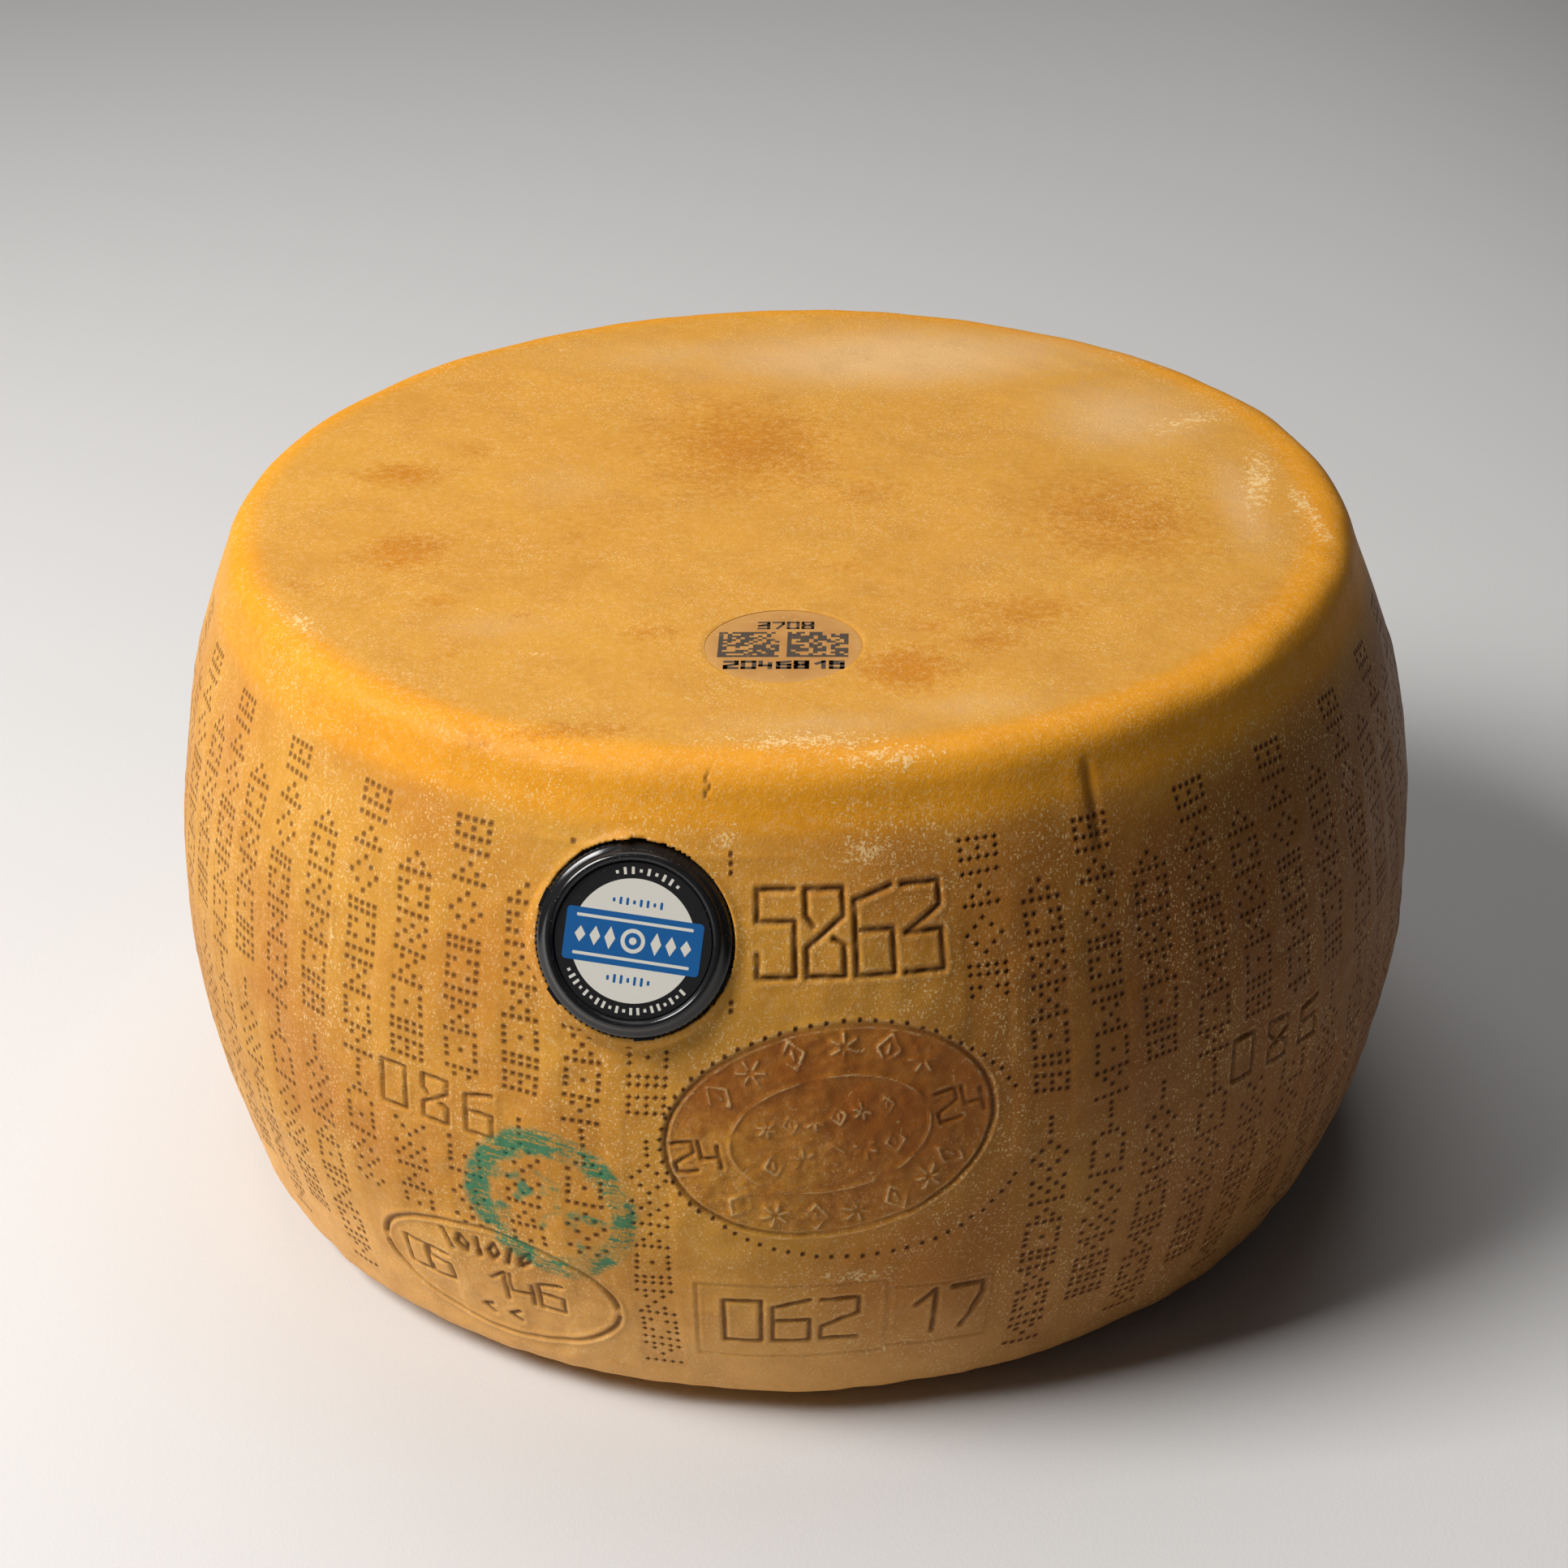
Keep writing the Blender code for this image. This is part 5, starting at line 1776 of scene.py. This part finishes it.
def code_cells(cells):
    """Two squares of seeded random cells, as boxes from left to right and low to high in the plate."""
    draw = np.random.default_rng(7)
    wide, tall = 0.0190 / cells, 0.0172 / cells
    boxes = []
    for left in (-0.0202, 0.0012):
        for row in range(cells):
            filled = draw.random(cells) < 0.58
            filled[0] = True
            filled[1:] |= row == 0
            order = 0
            while order < cells:
                last = order
                while filled[order] and last + 1 < cells and filled[last + 1]:
                    last += 1
                if filled[order]:
                    low = -0.0078 + row * tall
                    boxes.append((left + order * wide, left + (last + 1) * wide, low, low + tall))
                order = last + 1
    return boxes


def build_casein_plate(looks):
    """The thin round casein plate in the top, and the worn dark print in it."""
    top = WHEEL_HEIGHT - PLATE_DROP
    face = ((0.0, 0.0), (0.3, 0.00002), (0.6, 0.0), (0.85, -0.00002), (0.95, -0.00004), (0.985, -0.00006))
    edge = ((0.997, -0.00008), (1.0, -0.00012))
    under = [(share, -PLATE_THICKNESS) for share in (1.0, 0.6, 0.0)]
    mesh = lathe_mesh("casein_disc", [*face, *edge, *under], 120)
    mesh.transform(Matrix.Translation((*PLATE_PLACE, top)) @ Matrix.Diagonal((*PLATE_HALF, 1.0, 1.0)))
    places = vertex_places(mesh)
    share = np.hypot(*((places[:, :2] - PLATE_PLACE) / PLATE_HALF).T)
    set_attribute(mesh, "plate_rim", smooth_step(0.72, 0.97, share))
    material = finish_named("casein_finish", casein_finish, looks.plate_colour, looks.plate_rim_colour)
    mesh.materials.append(material)
    finish_piece(new_object("casein_disc", mesh), "casein", "casein_plate")

    shell = bmesh.new()
    low, high = -0.00020, 0.00003
    for x0, x1, y0, y1 in code_cells(looks.code_cells):
        add_slab(shell, [(x0, y0), (x1, y0), (x1, y1), (x0, y1)], low, high, 0)
    for mark, half_width in PLATE_DIGITS:
        for path in digit_paths(mark):
            for start, end in zip(path, path[1:]):
                add_slab(shell, stroke_outline(start, end, half_width), low, high, 0)
    mesh = mesh_from(shell, "casein_print")
    mesh.transform(Matrix.Translation((*PLATE_PLACE, top)) @ Matrix.Rotation(math.radians(-2.0), 4, "Z"))
    mesh.materials.append(finish_named("plate_ink", worn_ink_finish, looks.ink_colour, looks.plate_colour))
    finish_piece(new_object("casein_print", mesh), "casein", "casein_plate")


# The stage


def aim(thing, place, target):
    """Puts a light or camera at a place and turns it to look at its target."""
    thing.location = place
    thing.rotation_euler = (Vector(target) - Vector(place)).to_track_quat("-Z", "Y").to_euler()


def build_stage(looks):
    """A plain pale floor, soft studio light from the left, and the camera."""
    mesh = bpy.data.meshes.new("floor")
    corners = [(x * FLOOR_HALF, y * FLOOR_HALF, -FLOOR_DROP) for x, y in ((-1, -1), (1, -1), (1, 1), (-1, 1))]
    mesh.from_pydata(corners, [], [(0, 1, 2, 3)])
    mesh.materials.append(finish_named("floor_finish", floor_finish, looks.floor_colour))
    new_object("floor", mesh)

    world = bpy.data.worlds.new("studio")
    world.use_nodes = True
    background = world.node_tree.nodes["Background"]
    background.inputs["Color"].default_value = (*looks.fill_colour, 1.0)
    background.inputs["Strength"].default_value = looks.fill_strength
    bpy.context.scene.world = world
    bpy.context.scene.view_settings.view_transform = "Standard"

    for name, place, size, power in (
        ("key_light", looks.key_place, looks.key_size, looks.key_power),
        ("overhead_light", OVERHEAD_PLACE, OVERHEAD_SIZE, looks.overhead_power),
    ):
        light = bpy.data.lights.new(name, "AREA")
        light.shape = "SQUARE"
        light.size = size
        light.energy = power
        light.color = looks.light_colour
        aim(new_object(name, light), place, LIGHT_TARGET)

    camera = bpy.data.cameras.new("camera")
    camera.sensor_width = 36.0
    camera.lens = looks.lens
    camera.clip_start = 0.01
    camera.clip_end = 60.0
    eye = new_object("camera", camera)
    target = Vector(CAMERA_TARGET)
    rise = math.radians(CAMERA_RISE)
    place = target + Vector((0.0, -math.cos(rise), math.sin(rise))) * CAMERA_DISTANCE
    aim(eye, place, target)
    eye.rotation_euler.rotate_axis("Z", math.radians(CAMERA_ROLL))
    bpy.context.scene.camera = eye


# Settings, operators and panel


def colour_property(label, description, default):
    return bpy.props.FloatVectorProperty(
        name=label, description=description, default=default, subtype="COLOR", size=3, min=0.0, max=1.0
    )


def length_property(label, description, default, **limits):
    return bpy.props.FloatProperty(
        name=label, description=description, default=default, unit="LENGTH", precision=5, **limits
    )


def number_property(label, description, default, **limits):
    return bpy.props.FloatProperty(name=label, description=description, default=default, **limits)


def count_property(label, description, default, **limits):
    return bpy.props.IntProperty(name=label, description=description, default=default, **limits)


class CheeseRindSettings(bpy.types.PropertyGroup):
    """Sizes and colours of the rind."""

    dot_pitch: length_property("Dot pitch", "Pitch of a column's dots", 0.00265, min=0.0022, max=0.0030)
    dot_radius: length_property("Dot radius", "Radius of a pressed dot", 0.00062, min=0.0003, max=0.0009)
    dot_depth: length_property("Dot depth", "Depth of a pressed dot", 0.00105, min=0.0, max=0.002)
    stamp_reach: length_property("Ink ring reach", "Place of the ink ring round the side", -0.0797)
    stamp_level: length_property("Ink ring height", "Height of the ink ring's middle", 0.0882)
    stamp_radius: length_property("Ink ring radius", "Middle radius of the ring", 0.0246, min=0.005, max=0.05)
    stamp_band: length_property("Ink ring band", "Width of the ink ring's band", 0.0122, min=0.001, max=0.02)
    golden: colour_property("Golden", "Lighter rind colour", (0.61, 0.291, 0.037))
    amber: colour_property("Amber", "Deeper rind colour", (0.52, 0.205, 0.025))
    low_tan: colour_property("Low tan", "Paler colour near the foot of the side", (0.86, 0.45, 0.13))
    top_tan: colour_property("Top tan", "Colour of the flat top", (0.62, 0.3, 0.046))
    rim_orange: colour_property("Rim orange", "Saturated colour of the rim", (0.74, 0.3, 0.012))
    pale: colour_property("Pale", "Faded patches", (0.72, 0.47, 0.23))
    stain: colour_property("Stain", "Darker stains on the top", (0.5, 0.175, 0.01))
    # Painted shade over the right-hand side of the rind.
    right_side_shade: colour_property("Right side shade", "Browner rind towards the right-hand side", (0.165, 0.05, 0.014))
    brown: colour_property("Brown", "Fine brown mottling", (0.3, 0.105, 0.016))
    # Also the colour of the painted highlights on raised lips and shapes.
    fleck_and_highlight: colour_property("Fleck", "Pale crystal flecks and scuffs", (0.86, 0.62, 0.3))
    oval_brown: colour_property("Oval brown", "Browner field inside the large oval", (0.31, 0.092, 0.012))
    # Painted shade in the pressed grooves, folds and cracks.
    groove_shade: colour_property("Groove shade", "Bottom of the pressed grooves", (0.085, 0.030, 0.008))
    # Painted shade in the bottoms of the pressed dots.
    pit_shade: colour_property("Dot shade", "Bottom of the pressed dots", (0.15, 0.055, 0.012))
    ink_green: colour_property("Ink green", "Green ink of the ring", (0.02, 0.19, 0.098))


class CheeseBadgeSettings(bpy.types.PropertyGroup):
    """Sizes and colours of the cap badge and its label."""

    rib_count: count_property("Ribs", "Ribs round the cap's skirt", 92, min=12, max=200)
    rib_radius: length_property("Rib radius", "Radius of each rib", 0.00055, min=0.0002, max=0.001)
    cream_radius: length_property("Cream radius", "Radius of the cream middle", 0.0183, min=0.01, max=0.022)
    label_turn: number_property("Label turn", "Turn of the label", math.radians(-6.0), subtype="ANGLE")
    cap_colour: colour_property("Cap colour", "Black plastic", (0.010, 0.010, 0.011))
    cream_colour: colour_property("Cream", "Cream print", (0.64, 0.615, 0.55))
    blue_colour: colour_property("Blue", "Blue print", (0.006, 0.095, 0.29))


class CheesePlateSettings(bpy.types.PropertyGroup):
    """Print and colours of the casein plate."""

    code_cells: count_property("Cells", "Cells along each side of the two printed squares", 14, min=6, max=24)
    plate_colour: colour_property("Casein", "Amber casein", (0.43, 0.195, 0.048))
    plate_rim_colour: colour_property("Casein rim", "Thinner casein towards the rim", (0.56, 0.285, 0.072))
    ink_colour: colour_property("Print", "Dark print in the plate", (0.055, 0.038, 0.024))


class CheeseStageSettings(bpy.types.PropertyGroup):
    """Floor, light and camera."""

    floor_colour: colour_property("Floor", "Pale floor", (0.64, 0.63, 0.62))
    fill_colour: colour_property("Fill colour", "Colour of the light from all round", (0.92, 0.96, 1.0))
    fill_strength: number_property("Fill", "Strength of the light from all round", 0.035, min=0.0)
    key_place: bpy.props.FloatVectorProperty(
        name="Key light place",
        description="Where the key light stands",
        default=(-1.28, -0.47, 1.58),
        subtype="TRANSLATION",
        size=3,
    )
    key_size: length_property("Key light size", "Side of the square key light", 0.85, min=0.05, max=4.0)
    key_power: number_property("Key light power", "Power of the key light in watts", 53.0, min=0.0)
    overhead_power: number_property("Overhead power", "Power of the soft light above in watts", 21.0, min=0.0)
    light_colour: colour_property("Light colour", "Colour of the lights", (1.0, 0.99, 0.98))
    lens: number_property("Lens", "Focal length in mm on a 36 mm sensor", 65.1, min=20.0, max=200.0)


class CheeseOperator:
    """What the operators share. An error in a step stops its operator, and the script with it."""

    bl_options = {"REGISTER", "UNDO"}


class CHEESE_OT_rind_side(CheeseOperator, bpy.types.Operator):
    """Build the barrel side with its rim, its pressed marks and its columns of dots"""

    bl_idname = "cheese.rind_side"
    bl_label = "Side and rim"

    def execute(self, context):
        build_rind_side(context.scene.cheese_rind)
        return {"FINISHED"}


class CHEESE_OT_rind_top(CheeseOperator, bpy.types.Operator):
    """Build the flat top with the casein plate's bed"""

    bl_idname = "cheese.rind_top"
    bl_label = "Top"

    def execute(self, context):
        build_rind_top(context.scene.cheese_rind)
        return {"FINISHED"}


class CHEESE_OT_rind_base(CheeseOperator, bpy.types.Operator):
    """Build the flat base"""

    bl_idname = "cheese.rind_base"
    bl_label = "Base"

    def execute(self, context):
        build_rind_base(context.scene.cheese_rind)
        return {"FINISHED"}


class CHEESE_OT_cap_badge(CheeseOperator, bpy.types.Operator):
    """Build the black cap badge with its ribbed skirt"""

    bl_idname = "cheese.cap_badge"
    bl_label = "Cap badge"

    def execute(self, context):
        build_cap_badge(context.scene.cheese_badge)
        return {"FINISHED"}


class CHEESE_OT_badge_label(CheeseOperator, bpy.types.Operator):
    """Build the badge's printed label"""

    bl_idname = "cheese.badge_label"
    bl_label = "Badge label"

    def execute(self, context):
        build_badge_label(context.scene.cheese_badge)
        return {"FINISHED"}


class CHEESE_OT_casein_plate(CheeseOperator, bpy.types.Operator):
    """Build the casein plate and its print"""

    bl_idname = "cheese.casein_plate"
    bl_label = "Casein plate"

    def execute(self, context):
        build_casein_plate(context.scene.cheese_plate)
        return {"FINISHED"}


class CHEESE_OT_stage(CheeseOperator, bpy.types.Operator):
    """Set the floor, the lights and the camera"""

    bl_idname = "cheese.stage"
    bl_label = "Stage"

    def execute(self, context):
        build_stage(context.scene.cheese_stage)
        return {"FINISHED"}


OPERATORS = (
    CHEESE_OT_rind_side,
    CHEESE_OT_rind_top,
    CHEESE_OT_rind_base,
    CHEESE_OT_cap_badge,
    CHEESE_OT_badge_label,
    CHEESE_OT_casein_plate,
    CHEESE_OT_stage,
)
SETTINGS = {
    "cheese_rind": CheeseRindSettings,
    "cheese_badge": CheeseBadgeSettings,
    "cheese_plate": CheesePlateSettings,
    "cheese_stage": CheeseStageSettings,
}


class CHEESE_PT_panel(bpy.types.Panel):
    """Settings and build steps of the cheese wheel"""

    bl_idname = "CHEESE_PT_panel"
    bl_label = "Cheese Wheel"
    bl_space_type = "VIEW_3D"
    bl_region_type = "UI"
    bl_category = "Cheese"

    def draw(self, context):
        for name, group in SETTINGS.items():
            box = self.layout.box()
            for setting in group.__annotations__:
                box.prop(getattr(context.scene, name), setting)
        for operator in OPERATORS:
            self.layout.operator(operator.bl_idname)


def register():
    for group in (*SETTINGS.values(), *OPERATORS, CHEESE_PT_panel):
        bpy.utils.register_class(group)
    for name, group in SETTINGS.items():
        setattr(bpy.types.Scene, name, bpy.props.PointerProperty(type=group))


def unregister():
    for name in SETTINGS:
        delattr(bpy.types.Scene, name)
    for group in (CHEESE_PT_panel, *OPERATORS[::-1], *list(SETTINGS.values())[::-1]):
        bpy.utils.unregister_class(group)


def main():
    register()
    bpy.ops.cheese.rind_side()
    bpy.ops.cheese.rind_top()
    bpy.ops.cheese.rind_base()
    bpy.ops.cheese.cap_badge()
    bpy.ops.cheese.badge_label()
    bpy.ops.cheese.casein_plate()
    bpy.ops.cheese.stage()
    bpy.context.view_layer.update()


if __name__ == "__main__":
    main()
